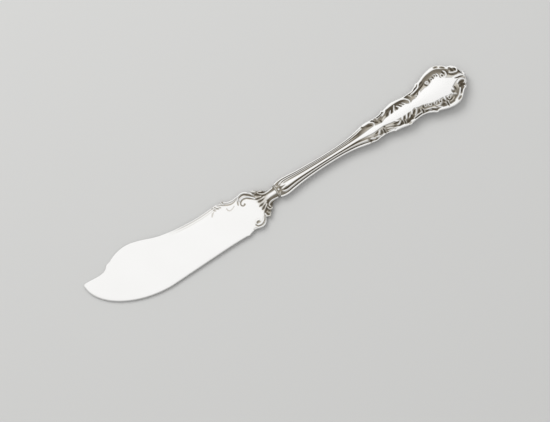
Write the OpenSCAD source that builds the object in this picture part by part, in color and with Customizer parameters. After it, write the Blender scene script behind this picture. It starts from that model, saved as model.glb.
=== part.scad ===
// Master butter knife: a struck blade with a scrolled heel, set in a hollow handle.
// Millimetres. The knife is drawn along X with its point at 0, its spine towards +Y and its
// middle plane at Z = 0. at_rest() then lays it on its back on the plane Z = 0.

/* [Blade] */
// Length of the blade from its point to the end of its heel
blade_length = 78; // [70:0.5:86]
// Height of the spine's crest above the knife's axis
crest_rise = 14; // [12.5:0.1:16]
// Height of the point's top edge above the knife's axis
point_rise = 9.4; // [8.5:0.1:10.5]
// Radius of the point's rounded corner
point_radius = 1.2; // [0.6:0.1:1.8]
// Height of the straight stretch of the spine above the knife's axis
spine_rise = 8.1; // [7.5:0.1:9]
// Depth of the cutting edge below the knife's axis
edge_drop = 10.3; // [9.7:0.1:12]
// Thickness of the blade at its spine, beside the heel
spine_thickness = 1.6; // [1.4:0.05:2]
// Thickness of the blade at its cutting edge, beside the heel
edge_thickness = 0.9; // [0.7:0.05:1.2]
// Thickness that the blade loses from its heel to its point
point_taper = 0.2; // [0:0.05:0.4]

/* [Heel] */
// Height of the heel's upper lobe above the knife's axis
heel_rise = 7.1; // [6.6:0.1:7.4]
// Depth of the heel's lower lobe below the knife's axis
heel_drop = 9.4; // [8.6:0.1:9.6]
// Width of the raised bands that form the scrolls
scroll_band = 0.6; // [0.4:0.05:0.8]
// Height of the scrolls above the blade's face
scroll_relief = 0.3; // [0.15:0.05:0.5]
// Radius of the small volutes where the heel runs in to the neck
volute_radius = 1.1; // [0.8:0.05:1.3]
// Width of each thread along the spine
thread_band = 0.45; // [0.3:0.05:0.6]
// Height of the threads above the blade's face
thread_relief = 0.15; // [0.1:0.05:0.3]

/* [Neck and tang] */
// Length of the neck from the heel to the mouth plate
neck_length = 8.7; // [7.5:0.1:11]
// Width of the neck
neck_width = 4.9; // [4.2:0.1:5.6]
// Thickness of the neck
neck_thickness = 3.3; // [2.9:0.1:3.5]
// Length of the tang inside the handle
tang_length = 30; // [22:0.5:38]
// Width of the tang
tang_width = 1.9; // [1.5:0.1:2]
// Thickness of the tang
tang_thickness = 1.1; // [0.9:0.1:1.2]
// Number of notches along each edge of the tang
tang_notches = 4; // [2:1:6]
// Depth of the notches
tang_notch_depth = 0.35; // [0.2:0.05:0.5]

/* [Mouth plate] */
// Thickness of the plate that closes the handle's mouth
mouth_plate_thickness = 0.8; // [0.6:0.1:1.4]
// Gap all round between the tang and its slot in the plate
tang_clearance = 0.05; // [0.02:0.01:0.1]

/* [Handle] */
// Length of the shells from the mouth to the end
handle_length = 90.5; // [82:0.5:100]
// Width of the handle at its mouth
mouth_width = 6.7; // [6.2:0.1:7.4]
// Width of the shoulder just behind the mouth
shoulder_width = 7.3; // [6.8:0.1:8]
// Width of the narrow waist
waist_width = 4.6; // [4.3:0.1:5.2]
// Width of the first swell, where the ornament begins
first_swell_width = 8.6; // [7.8:0.1:9.4]
// Width of the second swell
second_swell_width = 11.9; // [11:0.1:13]
// Width of the bulb near the end
bulb_width = 18.2; // [16.5:0.1:20]
// Width across the two volutes at the end
end_volute_width = 11.2; // [10:0.1:12.4]
// Width of the flame between the two end volutes
flame_width = 2.4; // [2:0.1:3]
// Thickness of the handle at its mouth
mouth_thickness = 3.6; // [3.4:0.1:3.7]
// Thickness of the handle at its waist
waist_thickness = 3.4; // [3.2:0.1:4]
// Thickness of the handle at its bulb
bulb_thickness = 5.8; // [5.4:0.1:6.6]
// Thickness of the handle at its very end
end_thickness = 2.6; // [2.4:0.1:3.2]
// Wall of the struck shells
shell_wall = 0.5; // [0.45:0.05:0.6]
// Length of the solid end that carries the volutes
solid_end = 4; // [3:0.5:7]

/* [Handle ornament] */
// Width of the rim along the handle's edge
rim_width = 0.6; // [0.45:0.05:0.75]
// Depth of the grooves beside the threads
groove_depth = 0.25; // [0.15:0.05:0.3]
// Depth of the sunk border round the panel
border_depth = 0.3; // [0.15:0.05:0.3]

/* [Hidden] */

silver_colour = [0.87, 0.87, 0.85];
solder_colour = [0.78, 0.78, 0.76];
cement_colour = [0.45, 0.3, 0.2];

// Places along the knife
neck_end = blade_length + neck_length;
mouth_at = neck_end + mouth_plate_thickness;
knife_length = mouth_at + handle_length;

// Shares of the blade's length where its outline turns
belly_share = 0.4;
edge_curve = 1.88;
outline_step = 0.7;
plate_end = blade_length + 0.7 * neck_length;

// Share of a section's half thickness that its side wall takes, below the crown
side_share = 0.5;

// Loft resolution: stations along the handle, and points across half of a section
stations = 60;
station_gather = 0.75;
half_outer = 12;
half_inner = half_outer / 2;

function mix(a, b, t) = a + (b - a) * t;
function soft_step(a, b, x) =
    let (t = max(0, min(1, (x - a) / (b - a))))
    t * t * (3 - 2 * t);

// Smooth curve through points [x, value], read at one x
function slope(p, i) =
    let (a = max(i - 1, 0), b = min(i + 1, len(p) - 1))
    (p[b][1] - p[a][1]) / (p[b][0] - p[a][0]);
function span_value(x, p, i) =
    let (
        h = p[i + 1][0] - p[i][0],
        t = max(0, min(1, (x - p[i][0]) / h)),
        rise = p[i + 1][1] - p[i][1],
        m = slope(p, i) * h,
        n = slope(p, i + 1) * h
    )
    p[i][1] + m * t + (3 * rise - 2 * m - n) * t ^ 2 + (m + n - 2 * rise) * t ^ 3;
function curve_at(x, p, i = 0) =
    i < len(p) - 2 && x > p[i + 1][0] ? curve_at(x, p, i + 1) : span_value(x, p, i);

// Blade outline. The spine runs from the point's corner over the notch, the crest and the
// hook to the heel's upper lobe, and then sweeps in to the neck.
spine_points = [
    [point_radius, point_rise],
    [0.06 * blade_length, point_rise - 0.2],
    [0.115 * blade_length, point_rise - 0.1],
    [0.148 * blade_length, mix(point_rise, crest_rise, 0.2)],
    [0.162 * blade_length, mix(point_rise, crest_rise, 0.43)],
    [0.215 * blade_length, mix(point_rise, crest_rise, 0.76)],
    [0.287 * blade_length, crest_rise],
    [0.365 * blade_length, mix(spine_rise, crest_rise, 0.79)],
    [0.45 * blade_length, mix(spine_rise, crest_rise, 0.37)],
    [0.55 * blade_length, mix(spine_rise, crest_rise, 0.1)],
    [0.67 * blade_length, spine_rise],
    [0.77 * blade_length, spine_rise + 0.15],
    [0.842 * blade_length, spine_rise + 0.1],
    [0.86 * blade_length, heel_rise],
    [0.892 * blade_length, 0.9 * heel_rise],
    [0.948 * blade_length, heel_rise],
    [0.98 * blade_length, 0.87 * heel_rise],
    [0.995 * blade_length, 0.66 * heel_rise],
    [blade_length + 0.15 * neck_length, 0.5 * heel_rise],
    [blade_length + 0.4 * neck_length, 0.5 * neck_width],
    [plate_end, 0.4 * neck_width]
];
edge_points = [
    [belly_share * blade_length, -edge_drop],
    [0.58 * blade_length, -mix(heel_drop, edge_drop, 0.6)],
    [0.74 * blade_length, -heel_drop],
    [0.85 * blade_length, -heel_drop],
    [0.876 * blade_length, -heel_drop - 0.3],
    [0.9 * blade_length, -0.96 * heel_drop],
    [0.923 * blade_length, -0.93 * heel_drop],
    [0.96 * blade_length, -heel_drop],
    [0.983 * blade_length, -0.93 * heel_drop],
    [0.997 * blade_length, -0.77 * heel_drop],
    [blade_length + 0.1 * neck_length, -0.56 * heel_drop],
    [blade_length + 0.25 * neck_length, -0.47 * heel_drop],
    [blade_length + 0.45 * neck_length, -0.55 * neck_width],
    [plate_end, -0.4 * neck_width]
];
function spine_y(x) = curve_at(x, spine_points);
function edge_y(x) = curve_at(x, edge_points);

// Half thickness of the blade at its axis and how it falls towards the edge and the point
edge_slope = (spine_thickness - edge_thickness) / 2 / (spine_rise + heel_drop);
point_slope = point_taper / 2 / blade_length;
axis_half_thickness = spine_thickness / 2 - edge_slope * spine_rise - point_slope * blade_length;
function blade_half_thickness(x, y) = axis_half_thickness + edge_slope * y + point_slope * x;
relief_root = 0.6 * axis_half_thickness;

// Handle half width and half thickness, by share of the handle's length
width_points = [
    [0, mouth_width / 2],
    [0.04, shoulder_width / 2],
    [0.11, mix(waist_width, shoulder_width, 0.52) / 2],
    [0.18, mix(waist_width, shoulder_width, 0.16) / 2],
    [0.27, waist_width / 2],
    [0.35, mix(waist_width, first_swell_width, 0.08) / 2],
    [0.425, mix(waist_width, first_swell_width, 0.5) / 2],
    [0.485, first_swell_width / 2],
    [0.535, 0.96 * first_swell_width / 2],
    [0.59, mix(first_swell_width, second_swell_width, 0.5) / 2],
    [0.65, second_swell_width / 2],
    [0.715, 0.91 * second_swell_width / 2],
    [0.757, mix(second_swell_width, bulb_width, 0.06) / 2],
    [0.8, mix(second_swell_width, bulb_width, 0.57) / 2],
    [0.873, bulb_width / 2],
    [0.912, 0.95 * bulb_width / 2],
    [0.932, mix(end_volute_width, bulb_width, 0.48) / 2],
    [0.944, mix(end_volute_width, bulb_width, 0.14) / 2],
    [0.955, end_volute_width / 2],
    [0.968, 0.9 * end_volute_width / 2],
    [0.979, 0.68 * end_volute_width / 2],
    [0.985, mix(flame_width, end_volute_width, 0.22) / 2],
    [0.991, flame_width / 2],
    [1, 0.6 * flame_width / 2]
];
thickness_points = [
    [0, mouth_thickness / 2],
    [0.27, waist_thickness / 2],
    [0.6, mix(waist_thickness, bulb_thickness, 0.55) / 2],
    [0.873, bulb_thickness / 2],
    [0.96, mix(end_thickness, bulb_thickness, 0.7) / 2],
    [1, end_thickness / 2]
];
// Half width of the central rib and of the panel that it grows into, as a share of the section
panel_points = [[0, 0.2], [0.05, 0.3], [0.25, 0.2], [0.47, 0.24], [0.6, 0.33], [0.72, 0.46], [0.86, 0.5],
    [0.92, 0.36], [1, 0.25]];
function handle_half_width(s) = curve_at(s, width_points);
function handle_half_thickness(s) = curve_at(s, thickness_points);
function panel_share(s) = curve_at(s, panel_points);

// Where the threads give way to the sunk border, and where the relief begins and ends
border_from = 0.44;
border_to = 0.49;
relief_ends = 0.03;
widest_rim = 0.3;
function relief(s) = soft_step(0, relief_ends, s) * soft_step(0, relief_ends, 1 - s);

// Height of a section's crown at distance y from its middle, and of the top of its side wall
function crown(y, w, t) = t * (1 - (1 - side_share) * (y / w) ^ 2);
function wall_top(t) = 0.75 * side_share * t;

// Half of a threaded section from its edge to its middle, each point [y, z]: a side wall, a rim,
// a groove, a thread, a second groove and the raised rib or panel
function half_section(w, t, rim, panel, thread_depth, groove, border) =
    let (
        field = w - rim - panel,
        inner = w - rim,
        ys = [w - 0.3 * rim, w - 0.75 * rim, inner - 0.06 * field, inner - 0.16 * field,
            inner - 0.3 * field, inner - 0.45 * field, inner - 0.6 * field, panel + 0.14 * field,
            panel, 0.5 * panel, 0],
        depths = [0, 0, groove, groove, thread_depth, thread_depth, border, border, 0, 0, 0]
    )
    concat(
        [[w, 0], [w - 0.08 * rim, wall_top(t)]],
        [for (i = [0:half_outer - 2]) [ys[i], crown(ys[i], w, t) - depths[i]]]);

// Half of the handle's section at a share of its length, outside and inside
function handle_outside(s) =
    let (
        w = handle_half_width(s),
        lift = relief(s),
        rim = min(rim_width, widest_rim * w),
        in_border = soft_step(border_from, border_to, s),
        border = lift * mix(groove_depth, border_depth, in_border)
    )
    half_section(w, handle_half_thickness(s), rim, w * panel_share(s), border * in_border,
        lift * groove_depth, border);
crown_shares = [0.88, 0.73, 0.52, 0.27, 0];
function handle_inside(s) =
    let (
        here = s * (1 - solid_end / handle_length),
        w = min(handle_half_width(s), handle_half_width(here)) - shell_wall,
        under = max(groove_depth, border_depth),
        t = min(handle_half_thickness(s), handle_half_thickness(here)) - shell_wall - under
    )
    concat(
        [[w, 0], [0.97 * w, wall_top(t)]],
        [for (share = crown_shares) [w * share, crown(w * share, w, t)]]);

// Stations gather towards both ends, where the outline turns fastest
function station_share(k) =
    let (u = k / (stations - 1))
    mix(u, (1 - cos(180 * u)) / 2, station_gather);
function outside_x(s) = mouth_at + s * handle_length;
function inside_x(s) = mouth_at + s * (handle_length - solid_end);

// A half section mirrored into an arch from +Y to -Y, and an arch closed below into a ring
function arch(x, half) =
    let (n = len(half) - 1)
    [for (j = [0:2 * n]) [x, (j > n ? -1 : 1) * half[n - abs(j - n)][0], half[n - abs(j - n)][1]]];
function ring(x, half) =
    let (top = arch(x, half), n = len(top) - 1)
    concat(top, [for (j = [n - 1:-1:1]) [x, top[j][1], -top[j][2]]]);

function two_triangles(a, b, c, d) = [[a, b, c], [a, c, d]];
function flat(lists) = [for (list = lists) for (item = list) item];

// Closed loft through rings of points. The upper and lower halves are split along
// mirrored diagonals, so that a half shell fits a filling face to face, and each end is
// closed by strips from the upper half straight down to the lower one.
module ring_loft(rings) {
    m = len(rings[0]);
    half = m / 2;
    last = (len(rings) - 1) * m;
    upper = [for (k = [0:len(rings) - 2]) for (j = [0:half - 1])
        two_triangles(k * m + j, (k + 1) * m + j, (k + 1) * m + j + 1, k * m + j + 1)];
    lower = [for (k = [0:len(rings) - 2]) for (j = [0:half - 1])
        let (a = (m - j) % m, d = m - j - 1)
        two_triangles(k * m + a, k * m + d, (k + 1) * m + d, (k + 1) * m + a)];
    strips = concat(
        [for (j = [0:half - 2]) [j, j + 1, m - j - 1]],
        [for (j = [1:half - 1]) [j, m - j - 1, m - j]]);
    caps = [for (s = strips) [s, [last + s[2], last + s[1], last + s[0]]]];
    polyhedron(flat(rings), flat(concat(upper, lower, caps)));
}

// Half shell: an outer arch and an inner arch at each station, joined by a flat seam
module half_shell() {
    shares = [for (k = [0:stations - 1]) station_share(k)];
    outer = flat([for (s = shares) arch(outside_x(s), handle_outside(s))]);
    inner = flat([for (s = shares) arch(inside_x(s), handle_inside(s))]);
    m = 2 * half_outer + 1;
    n = 2 * half_inner + 1;
    base = len(outer);
    outer_end = (stations - 1) * m;
    inner_end = base + (stations - 1) * n;
    skin = [for (k = [0:stations - 2]) for (j = [0:m - 2])
        two_triangles(k * m + j, (k + 1) * m + j, (k + 1) * m + j + 1, k * m + j + 1)];
    lining = [for (k = [0:stations - 2]) for (j = [0:n - 2])
        let (a = base + k * n + j, b = a + n)
        two_triangles(a, a + 1, b + 1, b)];
    seam = [for (k = [0:stations - 2])
        let (o = k * m, i = base + k * n)
        concat(
            two_triangles(o, i, i + n, o + m),
            two_triangles(i + n - 1, o + m - 1, o + 2 * m - 1, i + 2 * n - 1))];
    mouth = [for (j = [0:n - 2])
        let (o = 2 * j, i = base + j)
        [[o, o + 1, i], [i, o + 1, i + 1], [o + 1, o + 2, i + 1]]];
    outer_cap = [for (j = [1:m - 2]) [[outer_end, outer_end + j + 1, outer_end + j]]];
    inner_cap = [for (j = [1:n - 2]) [[inner_end, inner_end + j, inner_end + j + 1]]];
    end_seam = [two_triangles(outer_end, inner_end, inner_end + n - 1, outer_end + m - 1)];
    polyhedron(
        concat(outer, inner),
        flat(concat(skin, lining, seam, mouth, outer_cap, inner_cap, end_seam)));
}

// Lay something on the blade's upper face, which falls to the edge and the point
module on_upper_face() {
    translate([0, 0, axis_half_thickness])
        rotate([atan(edge_slope), -atan(point_slope), 0])
            children();
}
module below_upper_face() {
    reach = 2 * knife_length;
    on_upper_face()
        translate([-reach, -reach, -2 * reach])
            cube(2 * reach);
}

// Outline of the blade: spine, heel, edge, the long curve of the belly, and the round corner
module blade_outline() {
    spine = [for (x = [point_radius:outline_step:plate_end]) [x, spine_y(x)]];
    edge = [for (x = [belly_share * blade_length:outline_step:plate_end]) [x, edge_y(x)]];
    belly_long = belly_share * blade_length;
    corner_y = point_rise - point_radius;
    bow = 2 / edge_curve;
    belly = [for (a = [90:-5:5])
        [belly_long * (1 - cos(a) ^ bow), corner_y - (corner_y + edge_drop) * sin(a) ^ bow]];
    corner = [for (a = [180:-15:105]) [point_radius * (1 + cos(a)), corner_y + point_radius * sin(a)]];
    polygon(concat(
        spine,
        [[plate_end, spine_y(plate_end)], [plate_end, edge_y(plate_end)]],
        [for (i = [len(edge) - 1:-1:1]) edge[i]],
        belly,
        corner));
}

// Bands that follow the spine or the edge at a depth inside the outline
band_steps = 32;
band_inset = 0.1;
module spine_band(from_x, to_x, depth, band) {
    xs = [for (i = [0:band_steps]) mix(from_x, to_x, i / band_steps)];
    polygon(concat(
        [for (x = xs) [x, spine_y(x) - depth]],
        [for (i = [band_steps:-1:0]) [xs[i], spine_y(xs[i]) - depth - band]]));
}
module edge_band(from_x, to_x, depth, band) {
    xs = [for (i = [0:band_steps]) mix(from_x, to_x, i / band_steps)];
    polygon(concat(
        [for (x = xs) [x, edge_y(x) + depth]],
        [for (i = [band_steps:-1:0]) [xs[i], edge_y(xs[i]) + depth + band]]));
}

// Spiral band round a centre: its radius falls from one value to the other, faster with curl
scroll_steps = 28;
module scroll(centre, radii, angles, curl, band) {
    function radius(i) = mix(radii[1], radii[0], (1 - i / scroll_steps) ^ curl);
    function spot(i, side) =
        let (a = mix(angles[0], angles[1], i / scroll_steps), r = radius(i) + side * band / 2)
        centre + r * [cos(a), sin(a)];
    polygon(concat(
        [for (i = [0:scroll_steps]) spot(i, 1)],
        [for (i = [scroll_steps:-1:0]) spot(i, -1)]));
}

// Flat relief that stands square to both faces of the blade, rooted inside it
module on_faces(height) {
    for (side = [0, 1])
        mirror([0, 0, side])
            on_upper_face()
                translate([0, 0, -relief_root])
                    linear_extrude(relief_root + height)
                        children();
}

module spine_threads() {
    from_x = 0.45 * blade_length;
    hook_x = 0.84 * blade_length;
    lobe_x = 0.98 * blade_length;
    on_faces(thread_relief) {
        spine_band(from_x, hook_x, band_inset, thread_band);
        spine_band(from_x + 5 * thread_band, hook_x, band_inset + 2 * thread_band, thread_band);
        spine_band(hook_x, lobe_x, band_inset, 1.5 * thread_band);
    }
}

// Scrolls of the heel: one large one under the upper lobe and one in the lower lobe
module heel_scrolls() {
    upper = [0.936 * blade_length, 0.37 * heel_rise];
    lower = [0.954 * blade_length, -0.75 * heel_drop];
    big = 0.28 * heel_rise;
    small = 0.1 * heel_drop;
    on_faces(scroll_relief) {
        scroll(upper, [2.6 * big, 0.6 * big], [-15, 320], 3, scroll_band);
        scroll(lower, [4 * small, 0.9 * small], [10, -240], 2.2, scroll_band);
    }
    on_faces(scroll_relief / 2)
        edge_band(0.88 * blade_length, 0.997 * blade_length, band_inset, scroll_band);
}

// One curled knob on the heel's outline: a round core, a low boss and a raised spiral on both
// faces. The core stays below the faces.
volute_core = 0.9;
module volute(centre, radius, angles) {
    core_half_thickness = blade_half_thickness(centre.x - radius, centre.y - radius);
    linear_extrude(2 * core_half_thickness, center = true)
        translate(centre)
            circle(volute_core * radius, $fn = 48);
    on_faces(scroll_relief / 2)
        translate(centre)
            circle(radius, $fn = 48);
    on_faces(scroll_relief)
        scroll(centre, [radius - scroll_band / 2, scroll_band / 2], angles, 1, 0.6 * scroll_band);
}

module heel_volutes() {
    volute([blade_length + 0.06 * neck_length, 0.64 * heel_rise], volute_radius, [250, -120]);
    volute([blade_length + 0.36 * neck_length, 0.4 * heel_rise], 0.9 * volute_radius, [230, -140]);
    volute([blade_length + 0.17 * neck_length, -0.64 * heel_drop], volute_radius, [110, 480]);
    volute([blade_length + 0.4 * neck_length, -0.42 * heel_drop], 0.9 * volute_radius, [130, 500]);
}

// Neck: it rises out of the heel as a low rib and grows to its full section before the plate
module neck() {
    root_at = blade_length - neck_length / 3;
    long = neck_end - root_at;
    neck_rings = 12;
    rings = [for (k = [0:neck_rings])
        let (
            s = k / neck_rings,
            grown = soft_step(0, 0.75, s),
            w = mix(0.25, 0.5, grown) * neck_width,
            t = mix(0.5 * spine_thickness, neck_thickness, grown) / 2,
            groove = groove_depth * soft_step(0.3, 0.6, s)
        )
        ring(root_at + s * long, half_section(w, t, rim_width, 0.45 * w, groove, groove, groove))];
    ring_loft(rings);
}

// Tang: a flat tapered bar with notches along both edges, which the cement keys into
module tang_outline() {
    far = mouth_at + tang_length;
    tang_root = neck_end - neck_length / 8;
    taper = 0.75;
    notch = tang_length / (2 * tang_notches + 2);
    difference() {
        polygon([
            [tang_root, -tang_width / 2],
            [far, -taper * tang_width / 2],
            [far, taper * tang_width / 2],
            [tang_root, tang_width / 2]]);
        for (i = [1:tang_notches], side = [-1, 1])
            translate([mouth_at + (2 * i + 1) * notch, side * tang_width / 2])
                square([notch, 2 * tang_notch_depth], center = true);
    }
}
module tang() {
    linear_extrude(tang_thickness, center = true)
        tang_outline();
}

// Lay the knife on its back: its point and the back of its bulb touch the plane Z = 0
bulb_at = mouth_at + 0.873 * handle_length;
point_half_thickness = blade_half_thickness(0, point_rise - point_radius);
rest_tilt = atan((bulb_thickness / 2 - point_half_thickness) / bulb_at);
module at_rest() {
    translate([-knife_length / 2, (edge_drop - crest_rise) / 2, point_half_thickness * cos(rest_tilt)])
        rotate([0, -rest_tilt, 0])
            children();
}

module blade() {
    color(silver_colour)
        at_rest() {
            intersection() {
                linear_extrude(2 * spine_thickness, center = true)
                    blade_outline();
                below_upper_face();
                mirror([0, 0, 1])
                    below_upper_face();
            }
            spine_threads();
            heel_scrolls();
            heel_volutes();
            neck();
            tang();
        }
}

module handle_front() {
    color(silver_colour)
        at_rest()
            half_shell();
}

module handle_back() {
    color(silver_colour)
        at_rest()
            mirror([0, 0, 1])
                half_shell();
}

// Plate across the mouth of the handle, with a slot for the tang
module mouth_plate() {
    outline = [for (p = ring(0, handle_outside(0))) [p.y, p.z]];
    slot = [tang_width + 2 * tang_clearance, tang_thickness + 2 * tang_clearance];
    color(solder_colour)
        at_rest()
            translate([neck_end, 0, 0])
                rotate([90, 0, 90])
                    linear_extrude(mouth_plate_thickness)
                        difference() {
                            polygon(outline);
                            square(slot, center = true);
                        }
}

// Cement that fills the shells and holds the tang
module cement_filling() {
    rings = [for (k = [0:stations - 1])
        let (s = station_share(k))
        ring(inside_x(s), handle_inside(s))];
    color(cement_colour)
        at_rest()
            difference() {
                ring_loft(rings);
                tang();
            }
}

blade();
handle_front();
handle_back();
mouth_plate();
cement_filling();
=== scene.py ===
# %% [markdown]
# # A master butter knife in polished silver
#
# The knife has a notched, bulged blade with a scrolled heel, a ribbed neck, and a hollow handle of
# two struck shells. The solids of the drawing come in first as a fixed frame. Every piece below is
# then worked out in the drawing's own millimetres and laid where the drawing lays it.

# %% The frame
import math

import bpy
import numpy as np
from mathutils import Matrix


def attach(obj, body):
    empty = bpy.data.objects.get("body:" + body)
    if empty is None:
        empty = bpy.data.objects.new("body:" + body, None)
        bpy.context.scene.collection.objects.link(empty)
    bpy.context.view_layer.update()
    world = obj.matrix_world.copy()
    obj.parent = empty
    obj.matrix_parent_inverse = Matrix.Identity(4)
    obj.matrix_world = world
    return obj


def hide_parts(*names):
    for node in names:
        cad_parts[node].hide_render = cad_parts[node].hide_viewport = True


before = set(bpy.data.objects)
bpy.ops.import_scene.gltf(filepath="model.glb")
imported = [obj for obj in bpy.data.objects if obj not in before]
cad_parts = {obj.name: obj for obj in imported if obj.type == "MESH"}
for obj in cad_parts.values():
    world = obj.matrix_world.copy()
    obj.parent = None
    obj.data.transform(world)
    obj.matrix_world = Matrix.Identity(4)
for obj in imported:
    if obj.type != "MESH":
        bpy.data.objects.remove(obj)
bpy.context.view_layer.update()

# %% [markdown]
# ## Sizes and the way the knife lies
#
# The knife is drawn along X with its point at 0, its spine towards +Y and its middle plane at
# Z = 0. On a table it touches with its point and with the back of its bulb, so it is turned by a
# small angle about Y. Blender works in metres, so one function does the turn, the shift and the
# change of unit for every piece.

# %% Sizes and resting place
MM = 0.001
knife_length = 178.0
neck_end = 86.7
mouth_at = 87.5
handle_length = knife_length - mouth_at
crest_rise = 14.0
edge_drop = 10.3
point_rise = 9.4
point_radius = 1.2
bulb_share = 0.873
bulb_at = mouth_at + bulb_share * handle_length
bulb_half_thickness = 2.9

# the plate is thickest at the heel's spine, and thins evenly to the edge and to the point
spine_half = 0.8
edge_half = 0.45
heel_at = 78.0
heel_width = 17.5
heel_rise = 8.1
point_loss = 0.1
edge_slope = (spine_half - edge_half) / heel_width
point_slope = point_loss / heel_at
axis_half = spine_half - edge_slope * heel_rise - point_slope * heel_at
point_half = axis_half + edge_slope * (point_rise - point_radius)
rest_tilt = math.atan((bulb_half_thickness - point_half) / bulb_at)


def laid_down(points):
    """Drawing millimetres to metres on the table: a turn about the across axis by the resting
    tilt, then a shift that centres the knife's box over the origin."""
    x, y, z = np.moveaxis(points, -1, 0)
    along = x * math.cos(rest_tilt) - z * math.sin(rest_tilt) - knife_length / 2
    across = y + (edge_drop - crest_rise) / 2
    up = x * math.sin(rest_tilt) + (z + point_half) * math.cos(rest_tilt)
    return np.stack([along, across, up], axis=-1) * MM


print("resting tilt %.3f degrees" % math.degrees(rest_tilt))

# %% [markdown]
# ## Curves and strokes
#
# Two kinds of line draw the whole knife. A smooth curve through a few points gives an outline: its
# value is a cubic on each span, and its slope at a point is that of the chord between the point's
# neighbours. A stroke gives ornament: a path with a half width that changes along it, raised like
# a bead of metal. A die sinker cuts such ornament with the same few moves: leaf, stem, curl, bead.

# %% Curves
def soft_step(start, end, x):
    """0 before start, 1 after end, and the smooth cubic 3t^2 - 2t^3 between them."""
    t = np.clip((x - start) / (end - start), 0, 1)
    return t * t * (3 - 2 * t)


def mix(a, b, t):
    """The value a share t of the way from a to b."""
    return a + (b - a) * t


def curve_through(points, x):
    """Smooth curve through (place, value) points: a cubic on each span, whose slopes at the points
    are those of the chords between their neighbours."""
    place, value = np.array(points, float).T
    number = np.arange(len(place))
    before = np.maximum(number - 1, 0)
    after = np.minimum(number + 1, len(place) - 1)
    slope = (value[after] - value[before]) / (place[after] - place[before])
    i = np.clip(np.searchsorted(place, x) - 1, 0, len(place) - 2)
    span = place[i + 1] - place[i]
    t = np.clip((x - place[i]) / span, 0, 1)
    rise = value[i + 1] - value[i]
    m = slope[i] * span
    n = slope[i + 1] * span
    return value[i] + m * t + (3 * rise - 2 * m - n) * t ** 2 + (m + n - 2 * rise) * t ** 3


def smoothed(field, rounds):
    """A grid of values blurred along both ways, a few rounds of quarter, half, quarter."""
    for _ in range(rounds):
        field = np.pad(field, 1, mode="edge")
        field = (field[:-2] + 2 * field[1:-1] + field[2:]) / 4
        field = (field[:, :-2] + 2 * field[:, 1:-1] + field[:, 2:]) / 4
    return field


print("a quarter of the way along, a soft step has risen to %.3f" % soft_step(0, 1, 0.25))

# %% Strokes
PATH_STEPS = 26
STROKE_POWER = 2.6
MOST_RELIEF = 1.2
SHORTEST = 1e-9
leaf_start = 0.02
leaf_power = 0.6
curl_thin = 0.75
dot_half = 0.02
lobe_high = 1.6


def smooth_path(points):
    """A path through a few points: each coordinate is a smooth curve of the length run so far."""
    points = np.array(points, float)
    run = np.concatenate([[0], np.cumsum(np.hypot(*np.diff(points, axis=0).T))])
    at = np.linspace(0, run[-1], PATH_STEPS)
    return np.stack([curve_through(np.stack([run, c], 1), at) for c in points.T], axis=-1)


def leaf(points, wide, high=1.0):
    """A stroke that swells from a point and runs out to one: half width wide * sin(pi t)^0.6."""
    t = np.linspace(leaf_start, 1 - leaf_start, PATH_STEPS)
    return smooth_path(points), wide * np.sin(np.pi * t) ** leaf_power, high


def stem(points, wide, high=1.0, thin=0.7):
    """A stroke of nearly even width, from wide at its start to thin * wide at its end."""
    return smooth_path(points), wide * np.linspace(1, thin, PATH_STEPS), high


def curl(centre, radius, start, turns, wide, eye=0.5):
    """A spiral stroke: it starts at an angle in degrees, runs for a number of turns, positive
    against the clock, and its radius falls evenly to a share eye of the first."""
    t = np.linspace(0, 1, PATH_STEPS)
    angle = np.radians(start + 360 * turns * t)
    r = radius * mix(1, eye, t)
    path = np.stack([centre[0] + r * np.cos(angle), centre[1] + r * np.sin(angle)], axis=-1)
    return path, wide * mix(1, curl_thin, t), 1.0


def bead(centre, radius, high=1.0):
    """A round drop: a stroke so short that only its end caps show."""
    path = np.array(centre, float) + np.array([[-dot_half, 0], [dot_half, 0]])
    return path, np.full(2, radius), high


def lobe(points, wide, thin=0.85):
    """A stroke with a flat top: it is drawn much too high, and relief_of cuts it off."""
    return stem(points, wide, lobe_high, thin)


def relief_of(strokes, x, y):
    """Height of a set of strokes at each (x, y): over each straight bit of a path it is
    high * (1 - (distance / half width)^p)^(1/p), and the highest bit wins, up to a limit."""
    height = np.zeros_like(x)
    for path, half, high in strokes:
        low = (path - half[:, None]).min(axis=0)
        top = (path + half[:, None]).max(axis=0)
        near = (x > low[0]) & (x < top[0]) & (y > low[1]) & (y < top[1])
        px = x[near][:, None] - path[:-1, 0]
        py = y[near][:, None] - path[:-1, 1]
        step = np.diff(path, axis=0)
        share = (px * step[:, 0] + py * step[:, 1]) / np.maximum((step ** 2).sum(1), SHORTEST)
        share = np.clip(share, 0, 1)
        away = np.hypot(px - share * step[:, 0], py - share * step[:, 1])
        wide = half[:-1] + share * np.diff(half)
        dome = np.maximum(0, 1 - (away / wide) ** STROKE_POWER) ** (1 / STROKE_POWER)
        height[near] = np.maximum(height[near], high * dome.max(axis=1, initial=0))
    return np.minimum(height, MOST_RELIEF)


print("a stroke's path has", PATH_STEPS, "points, and its relief goes up to", MOST_RELIEF)

# %% [markdown]
# ## From a grid to a mesh
#
# Every piece is a grid of points, row by row, so its faces follow from counting. A closed mesh has
# a signed volume: the sum over its faces of corner against the cross product of the other two. If
# that is negative the faces point inwards, and they are all turned round.

# %% Grid to mesh
SHARP_ANGLE = math.radians(55)


def grid_faces(rows, columns, first=0, closed=False):
    """Corner numbers of the quads of a grid numbered row by row from first. Closed joins the last
    column to the first."""
    i = np.arange(rows - 1)[:, None]
    j = np.arange(columns if closed else columns - 1)[None, :]
    a = first + i * columns + j
    b = first + i * columns + (j + 1) % columns
    return np.stack([a, b, b + columns, a + columns], axis=-1).reshape(-1, 4)


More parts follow.
